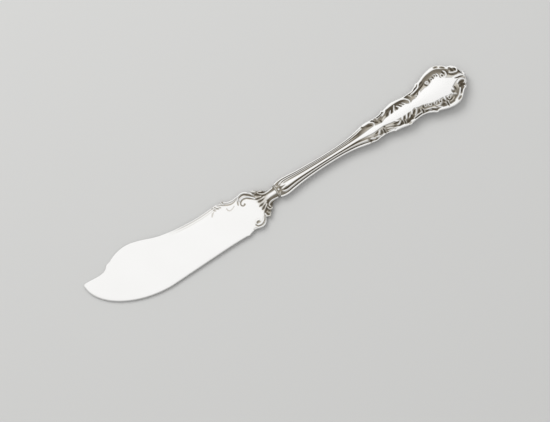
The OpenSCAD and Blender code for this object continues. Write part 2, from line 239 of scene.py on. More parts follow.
def signed_volume(points, faces):
    """Sum over the faces, fanned from their first corner, of a . (b x c) / 6."""
    total = 0.0
    for group in faces:
        corner = points[group]
        for k in range(1, group.shape[1] - 1):
            total += np.einsum("ij,ij->", corner[:, 0], np.cross(corner[:, k], corner[:, k + 1]))
    return total / 6


def make_piece(name, points, faces, marks):
    """A mesh object from points in drawing millimetres, faces as arrays of corner numbers, and
    marks, a value per point for each named attribute."""
    if signed_volume(points, faces) < 0:
        faces = [group[:, ::-1] for group in faces]
    corners = np.concatenate([group.ravel() for group in faces])
    sizes = np.concatenate([np.full(len(group), group.shape[1]) for group in faces])
    starts = np.concatenate([[0], np.cumsum(sizes)[:-1]])
    mesh = bpy.data.meshes.new(name)
    mesh.vertices.add(len(points))
    mesh.vertices.foreach_set("co", laid_down(points).ravel())
    mesh.loops.add(len(corners))
    mesh.loops.foreach_set("vertex_index", corners)
    mesh.polygons.add(len(sizes))
    mesh.polygons.foreach_set("loop_start", starts)
    mesh.update(calc_edges=True)
    mesh.polygons.foreach_set("use_smooth", np.ones(len(sizes), bool))
    for mark, values in marks.items():
        mesh.attributes.new(mark, "FLOAT", "POINT").data.foreach_set("value", values)
    mesh.set_sharp_from_angle(angle=SHARP_ANGLE)
    mesh.validate()
    piece = bpy.data.objects.new(name, mesh)
    bpy.context.scene.collection.objects.link(piece)
    print(name, "has", int((sizes - 2).sum()), "triangles and",
          "%.0f mm3" % abs(signed_volume(points, faces)))
    return piece


print("a grid of 3 by 4 points has", len(grid_faces(3, 4)), "faces")

# %% [markdown]
# ## Outline of the blade
#
# The blade is a flat plate. Its spine dips behind the point, steps up to a crest, falls to a
# straight stretch and ends in a curled hook and the heel's upper lobe. The cutting edge starts as a
# long superellipse, the belly, and ends in the lower lobe. Both outlines then sweep past two curled
# knobs to the neck. Read as heights over the knife's length, each is one smooth curve.

# %% Outline of the blade
belly_long = 31.2
belly_power = 1.88
spine_points = [
    (1.2, 9.4), (3, 9.38), (5, 9.2), (8, 9.1), (9.8, 9.35), (11, 9.95), (11.6, 10.5), (12.1, 11.05),
    (12.7, 11.35), (14, 11.7), (16, 12.6), (18, 13.3), (20, 13.72), (22.4, 13.93), (25, 13.68),
    (28, 12.95), (31, 11.95), (34, 10.8), (37, 9.9), (40.5, 9.2), (44, 8.7), (49, 8.2), (55, 8.0),
    (60, 8.25), (62.5, 8.4), (64.5, 8.1), (65.2, 8.25), (65.7, 8.5), (66.3, 8.0), (67, 7.4), (68, 6.95),
    (69.5, 6.7), (71, 6.75), (72.5, 6.95), (74, 7.2), (75.2, 7.0), (76.3, 6.4), (77.0, 5.6),
    (77.4, 5.45), (78, 5.75), (78.5, 5.8), (79.2, 5.35), (79.8, 4.6), (80.2, 4.1), (80.8, 4.05),
    (81.3, 4.05), (81.8, 3.7), (82.2, 3.15), (82.6, 2.6), (83.2, 2.3), (84.2, 2.2), (85.4, 2.3),
    (86.7, 2.55)]
edge_points = [
    (31.2, -10.3), (45, -9.85), (58, -9.45), (66, -9.4), (67.4, -9.5), (68.3, -9.65), (69.2, -9.35),
    (70.5, -9.0), (72, -8.85), (73.2, -9.2), (74.6, -9.5), (75.8, -9.35), (76.8, -8.75), (77.5, -7.8),
    (77.9, -7.0), (78.4, -6.95), (79, -7.3), (79.7, -7.4), (80.3, -6.9), (80.8, -6.0), (81.1, -5.45),
    (81.7, -5.25), (82.2, -5.1), (82.6, -4.3), (83.1, -3.5), (83.8, -3.05), (85, -2.85), (86.7, -2.8)]


def spine_at(x):
    """A quarter circle round the point's corner, then the curve through the spine's points."""
    corner = point_rise - point_radius
    arc = corner + np.sqrt(np.maximum(0, point_radius ** 2 - (point_radius - x) ** 2))
    return np.where(x < point_radius, arc, curve_through(spine_points, x))


def edge_at(x):
    """A superellipse from the point to the lowest place of the belly, (1 - x/a)^p + (y/b)^p = 1,
    then the curve through the edge's points."""
    corner = point_rise - point_radius
    run = np.clip(1 - x / belly_long, 0, 1)
    belly = corner - (corner + edge_drop) * (1 - run ** belly_power) ** (1 / belly_power)
    return np.where(x < belly_long, belly, curve_through(edge_points, x))


def stations(*spans):
    """Places along the knife: (start, end, count) spans put end to end."""
    parts = [np.linspace(start, end, count, endpoint=False) for start, end, count in spans]
    return np.concatenate(parts + [[spans[-1][1]]])


TIP_STATIONS = 40
tip_long = 6.0
tip_first = 0.03
tip_turn = np.linspace(tip_first, 0.5, TIP_STATIONS, endpoint=False) * np.pi
tip_x = tip_long * (1 - np.cos(tip_turn))
behind_x = stations((tip_long, 10, 9), (10, 14, 24), (14, 57, 62), (57, neck_end, 228))
blade_x = np.concatenate([tip_x, behind_x])
spine_y = spine_at(blade_x)
edge_y = edge_at(blade_x)
print("blade:", len(blade_x), "stations, from y %.2f to %.2f" % (edge_y.min(), spine_y.max()))

# %% [markdown]
# ## Ornament of the heel
#
# The heel carries the blade's whole ornament: two threads along the spine, a tuft of leaves and a
# hooked curl where they end, a C-scroll under the upper lobe, a curl in the lower lobe, four curled
# knobs, and a spray of leaves where the neck grows out. On the real knife a die strikes it into
# the plate. Here each is a stroke placed by its own few points, and cuts are strokes that go down.

# %% Ornament of the heel
heel_strokes = [
    # tuft of leaves across the threads
    leaf([(60.8, 8.1), (61.7, 7.5), (62.4, 6.7)], 0.32, 0.5),
    leaf([(62.5, 7.5), (63.2, 6.9), (63.8, 6.2)], 0.3, 0.5),
    leaf([(63.3, 7.9), (64.3, 7.4), (65.0, 7.0)], 0.3, 0.6),
    # hooked curl, and the upper rim that starts behind it
    stem([(65.8, 6.7), (65.3, 7.3), (65.3, 7.9), (65.7, 8.2)], 0.34, 0.9),
    stem([(66.3, 7.5), (67.0, 6.95), (68.2, 6.45), (69.6, 6.25), (71.0, 6.35), (72.2, 6.5)], 0.4, 0.9, 0.9),
    leaf([(71.3, 4.6), (71.8, 5.3), (72.3, 6.1)], 0.32, 0.9),
    stem([(72.4, 6.5), (73.8, 6.75), (75.0, 6.55), (76.2, 5.9), (77.1, 5.2)], 0.44, 0.9, 0.9),
    # C-scroll
    stem([(77.9, 2.1), (77.0, 3.1), (75.8, 4.15), (74.4, 4.7), (73.0, 4.7), (72.2, 4.3)], 0.4, 0.9),
    # upper knobs and the neck's upper rim
    leaf([(77.3, 5.4), (77.5, 4.6), (78.1, 3.7)], 0.44, 1.2),
    leaf([(77.9, 5.5), (78.9, 5.0), (79.7, 4.0)], 0.62, 1.2),
    leaf([(80.4, 3.8), (81.2, 3.6), (82.0, 3.0)], 0.52, 1.2),
    leaf([(80.2, 3.9), (80.1, 3.2), (80.4, 2.7)], 0.3, 0.9),
    stem([(80.7, 2.6), (81.5, 1.95), (82.6, 1.7), (84.2, 1.75), (86.2, 2.05)], 0.38, 1.0, 0.9),
    # lower lobe: rim, inner band and curl
    stem([(71.4, -8.5), (73.4, -8.9), (75.0, -9.1), (76.4, -8.75), (77.3, -7.9), (77.8, -6.8)],
         0.38, 0.9, 0.9),
    stem([(73.4, -7.7), (74.6, -7.9), (75.8, -7.6), (76.8, -6.8), (77.4, -5.8)], 0.38, 0.6),
    stem([(74.9, -6.2), (73.9, -6.1), (73.2, -6.7), (73.3, -7.4)], 0.32, 0.5),
    # lower knobs and the neck's lower rim
    stem([(78.3, -5.4), (78.4, -6.4), (79.1, -7.0), (80.0, -6.9), (80.5, -6.2)], 0.4, 1.2, 0.9),
    bead((79.85, -5.85), 0.38, 1.1),
    stem([(80.5, -3.8), (80.8, -4.7), (81.5, -5.0), (82.2, -4.75)], 0.38, 1.2, 0.9),
    stem([(81.7, -4.1), (81.5, -3.4), (82.0, -2.75), (83.0, -2.4), (84.6, -2.35), (86.2, -2.5)],
         0.38, 1.0, 0.9),
]
spray_strokes = [
    stem([(83.0, -0.3), (80.8, -0.7), (79.0, -0.9), (76.6, -0.8)], 0.8, 1.0, 0.45),
    stem([(81.4, 0.6), (80.2, 0.55), (79.0, 0.7), (77.0, 1.0)], 0.5, 0.95, 0.6),
    stem([(80.4, 1.5), (79.2, 1.8), (77.6, 2.2)], 0.42, 0.9, 0.7),
    stem([(81.2, -1.4), (79.8, -2.0), (78.6, -2.5), (76.9, -3.1)], 0.52, 0.95, 0.6),
    stem([(80.8, -2.5), (79.7, -3.3), (78.7, -4.0), (77.3, -4.9)], 0.46, 0.95, 0.6),
]
heel_cuts = [
    bead((62.15, 7.5), 0.28, 0.8),
    leaf([(61.0, 6.9), (61.5, 6.4), (61.9, 6.0)], 0.22, 0.5),
    leaf([(62.1, 7.0), (62.7, 6.6), (63.2, 6.1)], 0.24, 0.6),
    leaf([(63.3, 6.9), (63.9, 6.4), (64.4, 6.0)], 0.22, 0.5),
    leaf([(61.0, 6.2), (60.0, 5.7), (59.0, 4.6)], 0.34, 0.3),
    # groove beside the upper rim
    leaf([(63.2, 7.6), (64.6, 7.05), (66.0, 6.25), (67.4, 5.5), (68.8, 5.15), (70.2, 5.3), (71.3, 5.7)],
         0.27, 0.55),
    bead((66.0, 7.5), 0.3, 0.9),
    leaf([(71.4, 4.8), (71.0, 4.0), (70.7, 3.0)], 0.3, 0.6),
    stem([(66.0, 4.5), (66.1, 3.7), (66.7, 3.15), (67.8, 3.2), (69.2, 3.8)], 0.26, 0.3),
    # hollow of the upper lobe, and the line inside the C-scroll
    leaf([(72.3, 5.4), (73.4, 5.85), (74.7, 5.85), (75.9, 5.1), (76.8, 4.3), (77.7, 3.2), (78.4, 2.5)],
         0.38, 0.85),
    stem([(77.2, 2.3), (76.2, 3.1), (75.2, 3.85), (74.0, 4.2), (72.9, 4.05), (72.1, 3.5), (71.8, 2.8),
          (72.1, 2.1), (72.7, 1.85), (73.3, 2.05)], 0.3, 0.75),
    bead((73.2, 2.2), 0.4, 0.7),
    leaf([(75.3, 3.6), (76.1, 3.1), (77.0, 2.5)], 0.34, 0.5),
    # upper knobs
    leaf([(77.9, 4.7), (78.3, 4.2), (78.9, 3.7)], 0.24),
    leaf([(80.6, 3.1), (81.3, 2.85), (82.4, 2.4)], 0.26),
    # lower lobe and knobs
    stem([(72.6, -7.3), (73.2, -8.1), (74.4, -8.5), (75.6, -8.3), (76.6, -7.6), (77.4, -6.7), (77.9, -5.8)],
         0.21, 0.75),
    leaf([(73.3, -7.1), (73.9, -6.7), (74.7, -6.7)], 0.52, 0.7),
    leaf([(73.8, -6.9), (74.6, -7.1), (75.2, -7.1)], 0.28, 0.5),
    leaf([(79.0, -5.2), (79.1, -5.9), (79.4, -6.5)], 0.28),
    leaf([(80.0, -4.2), (80.2, -4.9), (80.6, -5.6)], 0.26),
    leaf([(81.1, -3.4), (81.2, -4.1), (81.7, -4.5)], 0.22),
    # between the leaves
    leaf([(78.3, 3.3), (79.2, 3.1), (80.1, 2.5)], 0.42),
    leaf([(77.8, 1.6), (79.2, 1.3), (80.6, 1.1)], 0.4),
    leaf([(78.2, 0.05), (79.4, -0.05), (80.7, 0.05)], 0.34, 0.9),
    leaf([(77.7, -1.75), (79.0, -1.6), (80.6, -1.2)], 0.36, 0.95),
    leaf([(78.1, -3.5), (79.2, -2.95), (80.4, -2.2)], 0.4),
    leaf([(78.3, -5.0), (79.4, -4.4), (80.5, -3.4)], 0.46),
]
heel_relief = 0.28
cut_depth = 0.16
print(len(heel_strokes), "strokes and", len(heel_cuts), "cuts on the heel")

# %% [markdown]
# ## The front face of the blade
#
# At each station a row of points runs down the front face, crowded at both edges, where the
# rounding needs them. The face falls from the spine to the edge and from the heel to the point.
# Rounded edges come from the factor sqrt(1 - (1 - d/r)^2), where d is the distance inside the
# outline. The neck thickens the plate, with a rim along each side and a rib between two grooves.

# %% Blade grid
SPINE_ROWS = 24
FACE_ROWS = 86
EDGE_ROWS = 12
spine_zone_most = 2.0
spine_zone_share = 0.2
edge_zone_most = 0.9
edge_zone_share = 0.1

spine = spine_y[:, None]
edge = edge_y[:, None]
blade_width = spine - edge
spine_zone = np.minimum(spine_zone_most, spine_zone_share * blade_width)
edge_zone = np.minimum(edge_zone_most, edge_zone_share * blade_width)
spine_share = 1 - np.cos(np.linspace(0, 0.5, SPINE_ROWS, endpoint=False) * np.pi)
edge_share = 1 - np.cos(np.linspace(0.5, 0, EDGE_ROWS + 1)[1:] * np.pi)
flat_share = np.linspace(0, 1, FACE_ROWS + 1)
spine_rows = spine - spine_zone * spine_share
flat_rows = mix(spine - spine_zone, edge + edge_zone, flat_share)
edge_rows = edge + edge_zone * edge_share
face_y = np.concatenate([spine_rows, flat_rows, edge_rows], axis=1)
face_x = np.array(np.broadcast_to(blade_x[:, None], face_y.shape))


def square_on(outline, x):
    """Cosine of an outline's slope, which turns a height below it into a distance from it."""
    return 1 / np.sqrt(1 + np.gradient(outline, x) ** 2)


from_spine = (spine - face_y) * square_on(spine_y, blade_x)[:, None]
from_edge = (face_y - edge) * square_on(edge_y, blade_x)[:, None]
print("blade grid", face_y.shape, "widest %.2f mm" % blade_width.max())

# %% Relief of the blade
edge_round = 0.3
bevel_wide = 1.1
bevel_deep = 0.3
bevel_fades = (70, 60)
threads_start = (39, 48)
threads_end = (62.2, 61.2)
thread_deep = 0.09
thread_grooves = [(0.78, 0.2, 1.0), (1.6, 0.24, 0.5)]
neck_half = 1.6
neck_fall = 0.4
neck_relief = 0.32
neck_grows = (78.6, 84.5)
neck_starts = (80.6, 82.4)
rib_middle = -0.08
rib_half = 1.02
rib_high = 0.9
spray_grows = (77.0, 80.2)
hollow_starts = (77.2, 80.6)
hollow_bow = 0.03
hollow_deep = 0.14
heel_guard = 1.2


def inside(distance, radius):
    """Rounded edge: 0 at the outline, 1 from a radius inside it, a quarter circle between."""
    return np.sqrt(np.maximum(0, 1 - (1 - np.clip(distance / radius, 0, 1)) ** 2))


# plate, with a slight bevel behind the cutting edge
blade_half = axis_half + edge_slope * face_y + point_slope * face_x
behind_edge = np.clip(1 - from_edge / bevel_wide, 0, 1) ** 2
bevel = 1 - bevel_deep * behind_edge * soft_step(*bevel_fades, face_x)

# two grooves, (distance in, half width, share of the depth), leave two raised threads
threads = soft_step(*threads_start, face_x) * soft_step(*threads_end, face_x)
groove = sum(deep * np.exp(-((from_spine - at) / wide) ** 2) for at, wide, deep in thread_grooves)

# neck: it thickens, and a rib runs along its middle between two grooves
grown = soft_step(*neck_grows, face_x)
in_neck = soft_step(*neck_starts, face_x)
off_middle = (face_y - (spine + edge) / 2) / (blade_width / 2)
neck_crown = neck_half * (1 - neck_fall * off_middle ** 2)
rib = np.sqrt(np.maximum(0, 1 - ((face_y - rib_middle) / rib_half) ** 2)) * in_neck

# ornament: raised strokes, cuts that stay off them, and the hollow that the spray lies in
spray = relief_of(spray_strokes, face_x, face_y) * soft_step(*spray_grows, face_x)
scrolls = relief_of(heel_strokes, face_x, face_y)
strokes = smoothed(np.maximum.reduce([scrolls, spray, rib_high * rib]), 1)
cuts = relief_of(heel_cuts, face_x, face_y) * np.clip(1 - heel_guard * strokes, 0, 1)
hollow = soft_step(*hollow_starts, face_x - hollow_bow * face_y ** 2)
body = mix(blade_half * bevel, neck_crown, grown)
body = body - thread_deep * threads * groove - cut_depth * cuts
body = body - mix(hollow_deep, neck_relief, in_neck) * hollow
face_z = body + mix(heel_relief, neck_relief, in_neck) * strokes
face_z = face_z * inside(from_spine, edge_round) * inside(from_edge, edge_round)
print("blade half thickness up to %.2f mm" % face_z.max())

# %% [markdown]
# ## Tarnish, painted shade and mesh of the blade
#
# Tarnish keeps where a polisher's finger can't reach: beside the strokes, in the cuts and on the
# sunk field. There the darkening is partly tarnish and partly painted shade, and the root of the neck
# and the grooves between the threads get painted shade as well. So each point gets a value of tarnish
# and painted shade, worked out from the same relief. The rear face is the front one mirrored, and
# the two make one closed loop at each station. Two more loops behind the neck make the tang, a flat
# bar that hides in the handle, and a cap closes each end.

# %% Tarnish and painted shade of the blade
cavity_rounds = 10
cavity_gain = 1.1
cavity_most = 0.55
field_dark = 0.85
field_guard = 1.15
cut_dark = 1.15
root_dark = 0.25
root_start = (77.6, 79.6)
root_end = (84, 81)
thread_dark = 0.3

# cavity, field and cuts: partly tarnish, partly painted shade; root_shade and thread_shade: painted shade
# only
cavity = np.clip((smoothed(strokes, cavity_rounds) - strokes) * cavity_gain, 0, cavity_most)
field = field_dark * hollow * np.clip(1 - field_guard * strokes, 0, 1)
blade_tarnish_and_shade = np.maximum.reduce([cavity, field, cut_dark * cuts])
root_shade = root_dark * soft_step(*root_start, face_x) * soft_step(*root_end, face_x)
thread_shade = thread_dark * threads * np.clip(groove, 0, 1)
blade_tarnish_and_shade = smoothed(np.clip(blade_tarnish_and_shade + root_shade + thread_shade, 0, 1), 1)
print("recess of the blade up to %.2f" % blade_tarnish_and_shade.max())

# %% Blade mesh
tang_long = 29.5
tang_end = mouth_at + tang_long
tang_half_widths = (0.9, 0.68)
tang_half_thick = 0.5
tang_power = 8


def loops(x, y, z):
    """Closed loops: down the front face from spine to edge, and back up the rear one."""
    front = np.stack([x, y, z], axis=-1)
    rear = np.stack([x, y, -z], axis=-1)[:, -2:0:-1]
    return np.concatenate([front, rear], axis=1)


across = np.cos(np.linspace(0, np.pi, face_y.shape[1]))
tang_y = np.array(tang_half_widths)[:, None] * across
tang_z = np.broadcast_to(tang_half_thick * (1 - np.abs(across) ** tang_power), tang_y.shape)
tang_x = np.broadcast_to(np.array([[neck_end], [tang_end]]), tang_y.shape)
blade_loops = np.concatenate([loops(face_x, face_y, face_z), loops(tang_x, tang_y, tang_z)])
count, around = blade_loops.shape[:2]
blade_faces = [
    grid_faces(count, around, closed=True),
    np.arange(around)[None, ::-1],
    (count - 1) * around + np.arange(around)[None, :]]
mark = np.concatenate([blade_tarnish_and_shade, blade_tarnish_and_shade[:, -2:0:-1]], axis=1)
mark = np.concatenate([mark, np.zeros((2, around))])
blade = make_piece("knife_blade", blade_loops.reshape(-1, 3), blade_faces, {"tarnish_and_shade": mark.ravel()})

# %% [markdown]
# ## Outline and section of the handle
#
# The handle swells three times on its way to the end. Its two sides differ a little, as the
# scrolls on them do, so each has its own curve. Across, the section is a side wall and a low crown.
# Everything raised on it is flush with the crown, and the field between is sunk below it, so wear
# and polish reach the raised work and leave tarnish in the field, which is darkened further as
# painted shade.

# %% Outline and section of the handle
# half widths to either side of the axis, each with its place along the knife
upper_outline = [
    (87.5, 3.05), (89.2, 3.42), (91.2, 3.55), (94, 3.35), (97.5, 3.0), (102, 2.75), (108, 2.5),
    (112, 2.42), (117, 2.5), (121, 2.75), (124, 3.1), (127, 3.65), (130, 4.3), (132.5, 4.5), (135, 4.3),
    (137.5, 4.25), (139.5, 4.6), (142, 5.25), (144, 5.75), (145.6, 5.95), (147.5, 5.75), (150, 5.4),
    (152.5, 5.3), (155, 5.5), (156.6, 6.25), (158.5, 6.95), (160, 7.5), (162, 8.4), (164, 9.0),
    (166.5, 9.4), (168.5, 9.2), (170.2, 8.4), (171.5, 7.5), (172.5, 6.5), (173.3, 6.1), (174.2, 5.85),
    (175.0, 5.1), (175.5, 4.65), (175.9, 3.9), (176.1, 2.9), (176.3, 2.0), (176.6, 1.6), (177, 1.5),
    (177.5, 1.2), (177.8, 0.8), (178, 0.3)]
lower_outline = [
    (87.5, 3.2), (89, 3.55), (91, 3.65), (94, 3.25), (97.5, 2.8), (102, 2.4), (108, 2.12),
    (112, 2.08), (117, 2.15), (121, 2.45), (124, 2.85), (127, 3.45), (129.5, 4.0), (130.3, 4.0),
    (132.5, 4.4), (135, 4.2), (137.5, 4.1), (140, 4.6), (142, 5.15), (144, 5.45), (146, 5.85),
    (148, 6.1), (150, 5.8), (152.5, 5.5), (154.5, 5.55), (156.5, 6.0), (158.3, 6.8), (160, 7.3),
    (162, 7.9), (164.5, 8.7), (167, 9.1), (169.5, 8.9), (171.3, 8.1), (173, 6.5), (174, 5.5),
    (174.6, 5.2), (175.2, 4.95), (175.45, 4.3), (175.75, 3.75), (176.2, 3.4), (176.5, 2.8), (176.75, 2.0),
    (176.9, 1.25), (177.2, 0.8), (177.6, 0.55), (178, 0.25)]
# half thickness under the crown
half_thickness = [
    (87.5, 1.8), (111.9, 1.7), (141.8, 2.36), (166.5, 2.89), (174.4, 2.4), (177, 1.95), (177.7, 1.7),
    (178, 1.3)]
# widths of the rims, then half widths of the shaft's rib and of the panel behind it
upper_rim = [
    (87.5, 0.65), (100, 0.55), (112, 0.5), (122, 0.57), (127, 0.7), (129, 0.75), (130, 0.95), (131.5, 1.2),
    (133, 1.2), (134.3, 0.8), (135.5, 0.45), (137.5, 0.5), (140, 0.65), (142, 0.95), (143.5, 1.25),
    (145.5, 1.4), (147.5, 1.15), (149.5, 1.0), (150.8, 0.8), (152, 0.5), (155, 0.6), (157, 0.85),
    (158.3, 0.9), (159.2, 0.75), (160.5, 1.1), (163, 1.25), (166, 1.55), (168.5, 1.7), (170.5, 1.65),
    (171.7, 1.3), (172.6, 0.8), (174, 0.5), (176, 0.45), (178, 0.1)]
lower_rim = [
    (87.5, 0.7), (92, 0.75), (100, 0.7), (112, 0.68), (122, 0.72), (127, 0.85), (129.5, 0.8),
    (131, 0.5), (135, 0.5), (137.5, 0.45), (140, 0.65), (142, 0.9), (144, 1.2), (145.6, 1.3),
    (146.8, 1.0), (148.5, 1.35), (150, 1.1), (151.2, 0.6), (153.5, 0.6), (155.5, 0.55), (157.5, 0.8),
    (159, 0.8), (160.5, 0.75), (162, 1.1), (165, 1.3), (167, 1.55), (169, 1.65), (171, 1.5),
    (172.5, 1.1), (173.5, 0.65), (174.5, 0.5), (176, 0.45), (178, 0.1)]
upper_panel = [
    (90.5, 1.0), (92, 1.3), (96, 1.15), (100, 0.98), (105, 0.86), (112, 0.8), (118, 0.84), (123, 0.92),
    (126, 1.0), (130, 1.25), (133, 1.5), (134.5, 1.55), (136, 1.3), (138, 1.05), (140, 1.7), (142, 1.9),
    (144, 2.05), (146, 2.2), (149, 2.4), (150.5, 2.25), (152.1, 1.65), (153.6, 2.2), (155, 2.2),
    (156.5, 2.7), (158, 3.2), (160, 3.7), (162, 3.8), (163.4, 4.3), (165, 4.9), (166.5, 5.1),
    (167.5, 4.7), (168.5, 3.8), (169.5, 2.9), (170.6, 2.3), (171.4, 1.85), (172.3, 1.25), (173.2, 0.75),
    (178, 0.4)]
lower_panel = [
    (90.5, 0.6), (92, 0.85), (96, 0.55), (100, 0.38), (105, 0.28), (112, 0.22), (118, 0.27), (123, 0.34),
    (126, 0.42), (130, 0.8), (133, 1.2), (136, 0.95), (138, 0.85), (140, 1.3), (142.5, 1.7), (146, 1.9),
    (150, 1.9), (151.4, 1.75), (152.5, 1.45), (154, 2.05), (156, 2.3), (158, 2.95), (160, 3.6),
    (163, 3.9), (165, 3.95), (167, 4.45), (168.2, 4.4), (168.9, 3.4), (169.6, 2.7), (170.6, 2.1),
    (171.7, 1.5), (172.5, 1.0), (174, 0.45), (178, 0.3)]
# threads: share of the gap from panel to rim, half width as such a share, and fading
upper_threads = [
    ([(89.5, 0.68), (100, 0.75), (122, 0.74), (130, 0.9)], 0.2, (129.2, 130.7)),
    ([(89.5, 0.2), (100, 0.28), (122, 0.28), (130, 0.3)], 0.19, (121, 130))]
lower_threads = [
    ([(89.5, 0.55), (100, 0.55), (122, 0.55), (130, 0.68)], 0.28, (129.2, 130.7))]
# how much tarnish and painted shade is kept along the handle
tarnish_and_shade_along = [
    (87.5, 0.8), (90, 0.9), (96, 1.5), (122, 1.6), (132, 0.98), (142, 1.15), (152, 1.15), (158, 1.0),
    (178, 1.0)]
# how far the floor of the border rises towards the panel
upper_floor = [(128, 0.36), (138, 0.36), (142, 0.3), (152, 0.34), (157, 0.5), (164, 0.55), (178, 0.62)]
lower_floor = [(128, 0.62), (140, 0.62), (146, 0.55), (153, 0.55), (158, 0.6), (178, 0.6)]
# height of the side wall as a share of the crown's, along the handle and at its end
side_share = 0.5
end_share = 0.82
# depth of the sunk field, between the threads and in the border
shaft_field = 0.28
border_field = 0.38

# leaf tips on the outlines: place, rise, length
upper_tips = [(140.3, 0.4, 1.2), (158.2, 0.4, 1.5)]
lower_tips = [(141.4, 0.25, 1.2), (148.2, 0.2, 1.4), (159.8, 0.45, 1.6)]
tip_drop = 0.6


def leaf_tip(x, at, rise, wide):
    """A small leaf tip on the outline: it rises slowly and drops sharply behind its peak."""
    return rise * soft_step(at - wide, at, x) * soft_step(at + tip_drop * wide, at, x)


def upper_half(x):
    """Half width on the spine side: its curve and its leaf tips."""
    return curve_through(upper_outline, x) + sum(leaf_tip(x, *tip) for tip in upper_tips)


def lower_half(x):
    """Half width on the edge side: its curve and its leaf tips."""
    return curve_through(lower_outline, x) + sum(leaf_tip(x, *tip) for tip in lower_tips)


handle_x = stations((mouth_at, 92, 34), (92, 127, 54), (127, 172, 416), (172, knife_length, 84))
handle_width = upper_half(handle_x) + lower_half(handle_x)
print("handle:", len(handle_x), "stations, widest %.2f mm" % handle_width.max())

# %% [markdown]
# ## Ornament of the handle
#
# Threads run from the mouth to the first swell. From there each swell is a scroll: its rim widens,
# curls in, and gives way to the next, with leaves, ties and beads in the field between rim and
# panel. At the end two volutes hold a small flame. The two sides are nearly, not quite, mirrored.

# %% Ornament of the shoulder
shoulder_strokes = [
    bead((88.15, 0.05), 0.52),
    leaf([(89.1, 1.0), (90.1, 0.85), (92.2, 0.6)], 0.52),
    leaf([(89.1, -0.5), (90.1, -0.35), (92.2, -0.15)], 0.48),
    leaf([(88.8, 1.4), (89.5, 1.95), (90.9, 2.25)], 0.36),
    leaf([(89.0, -1.1), (89.8, -1.7), (91.0, -2.0)], 0.36),
    leaf([(87.6, 2.5), (87.8, 1.8), (88.4, 1.1)], 0.36, 0.7),
    leaf([(87.6, -2.5), (87.8, -1.8), (88.4, -1.1)], 0.36, 0.7),
]
shoulder_cuts = [
    leaf([(88.9, 0.75), (89.05, 0.3), (88.9, -0.2)], 0.2),
    leaf([(89.9, -1.1), (90.8, -1.35), (92.6, -1.3)], 0.24),
]
print(len(shoulder_strokes), "strokes on the shoulder")

# %% Ornament of the upper side
upper_strokes = [
    # tongues that the panel puts out into the hollow
    curl((155.5, 2.55), 0.58, -80, 0.85, 0.28),
    leaf([(156.5, 2.1), (157.2, 3.0), (158.2, 3.7)], 0.42, 1.1),
    curl((164.35, 5.15), 0.66, -100, 0.85, 0.3),
    curl((166.2, 5.7), 0.68, -95, 0.85, 0.3),
    lobe([(167.6, 4.4), (167.7, 5.3), (167.4, 5.9)], 0.42, 0.7),
    curl((169.15, 4.0), 0.86, 75, 0.95, 0.34, 0.6),
    # first swell: the rim curls in, with leaves behind it
    stem([(133.4, 3.7), (134.5, 3.25), (135.05, 2.7), (135.15, 2.0), (134.7, 1.4)], 0.46, 1.0, 0.75),
    leaf([(134.8, 4.15), (135.6, 3.75), (136.4, 3.2)], 0.34, 0.9),
    leaf([(136.5, 4.2), (137.1, 3.4), (137.0, 2.5)], 0.36, 0.8),
    stem([(137.3, 3.2), (138.8, 3.4), (140.1, 3.9)], 0.28, 0.85),
    # second swell: leaf tip, lobes, and the rim's curled end
    leaf([(139.2, 2.9), (140.6, 3.6), (142.2, 4.6)], 0.52),
    leaf([(138.6, 1.4), (139.6, 2.0), (140.8, 2.5)], 0.45, 0.65),
    stem([(142.2, 1.2), (142.8, 2.2), (143.7, 3.1)], 0.5, 1.1, 0.6),
    stem([(144.5, 1.4), (145.1, 2.8), (146.0, 4.2)], 0.5, 1.1, 0.6),
    stem([(147.9, 1.5), (147.4, 2.5), (146.7, 3.3)], 0.5, 1.1, 0.7),
    stem([(149.2, 1.8), (148.7, 2.6), (148.0, 3.3)], 0.42, 1.0, 0.7),
    stem([(150.5, 1.7), (149.9, 2.6), (149.2, 3.3)], 0.42, 1.0, 0.7),
    stem([(149.6, 4.85), (150.9, 4.35), (151.8, 3.4), (152.3, 2.4), (152.0, 1.6)], 0.5, 1.0, 0.75),
    leaf([(152.8, 4.7), (153.6, 4.0), (153.9, 3.0)], 0.4, 0.75),
    # bulb: a band that rises into the rim, a curl, and a ring with its crescent
    stem([(154.3, 4.35), (155.8, 4.55), (157.2, 4.95), (158.2, 5.35), (158.8, 6.1), (159.7, 6.75),
          (161, 7.3)], 0.42, 1.0, 1.15),
    curl((162.15, 4.75), 0.78, 160, -0.95, 0.32),
    stem([(170.4, 5.5), (170.85, 4.75), (170.85, 3.9), (170.4, 3.2), (169.6, 2.9)], 0.42, 1.0, 0.8),
    # upper end volute: the rim's end, a leaf tip, and the hook on its stalk
    bead((172.4, 5.5), 0.55),
    bead((173.75, 5.55), 0.55),
    stem([(174.1, 4.9), (175.0, 4.55), (175.65, 3.8), (175.5, 3.0), (174.9, 2.5), (174.1, 2.75),
          (173.2, 3.05), (172.2, 3.7)], 0.5, 1.1, 0.7),
    bead((172.6, 4.15), 0.5, 0.55),
]
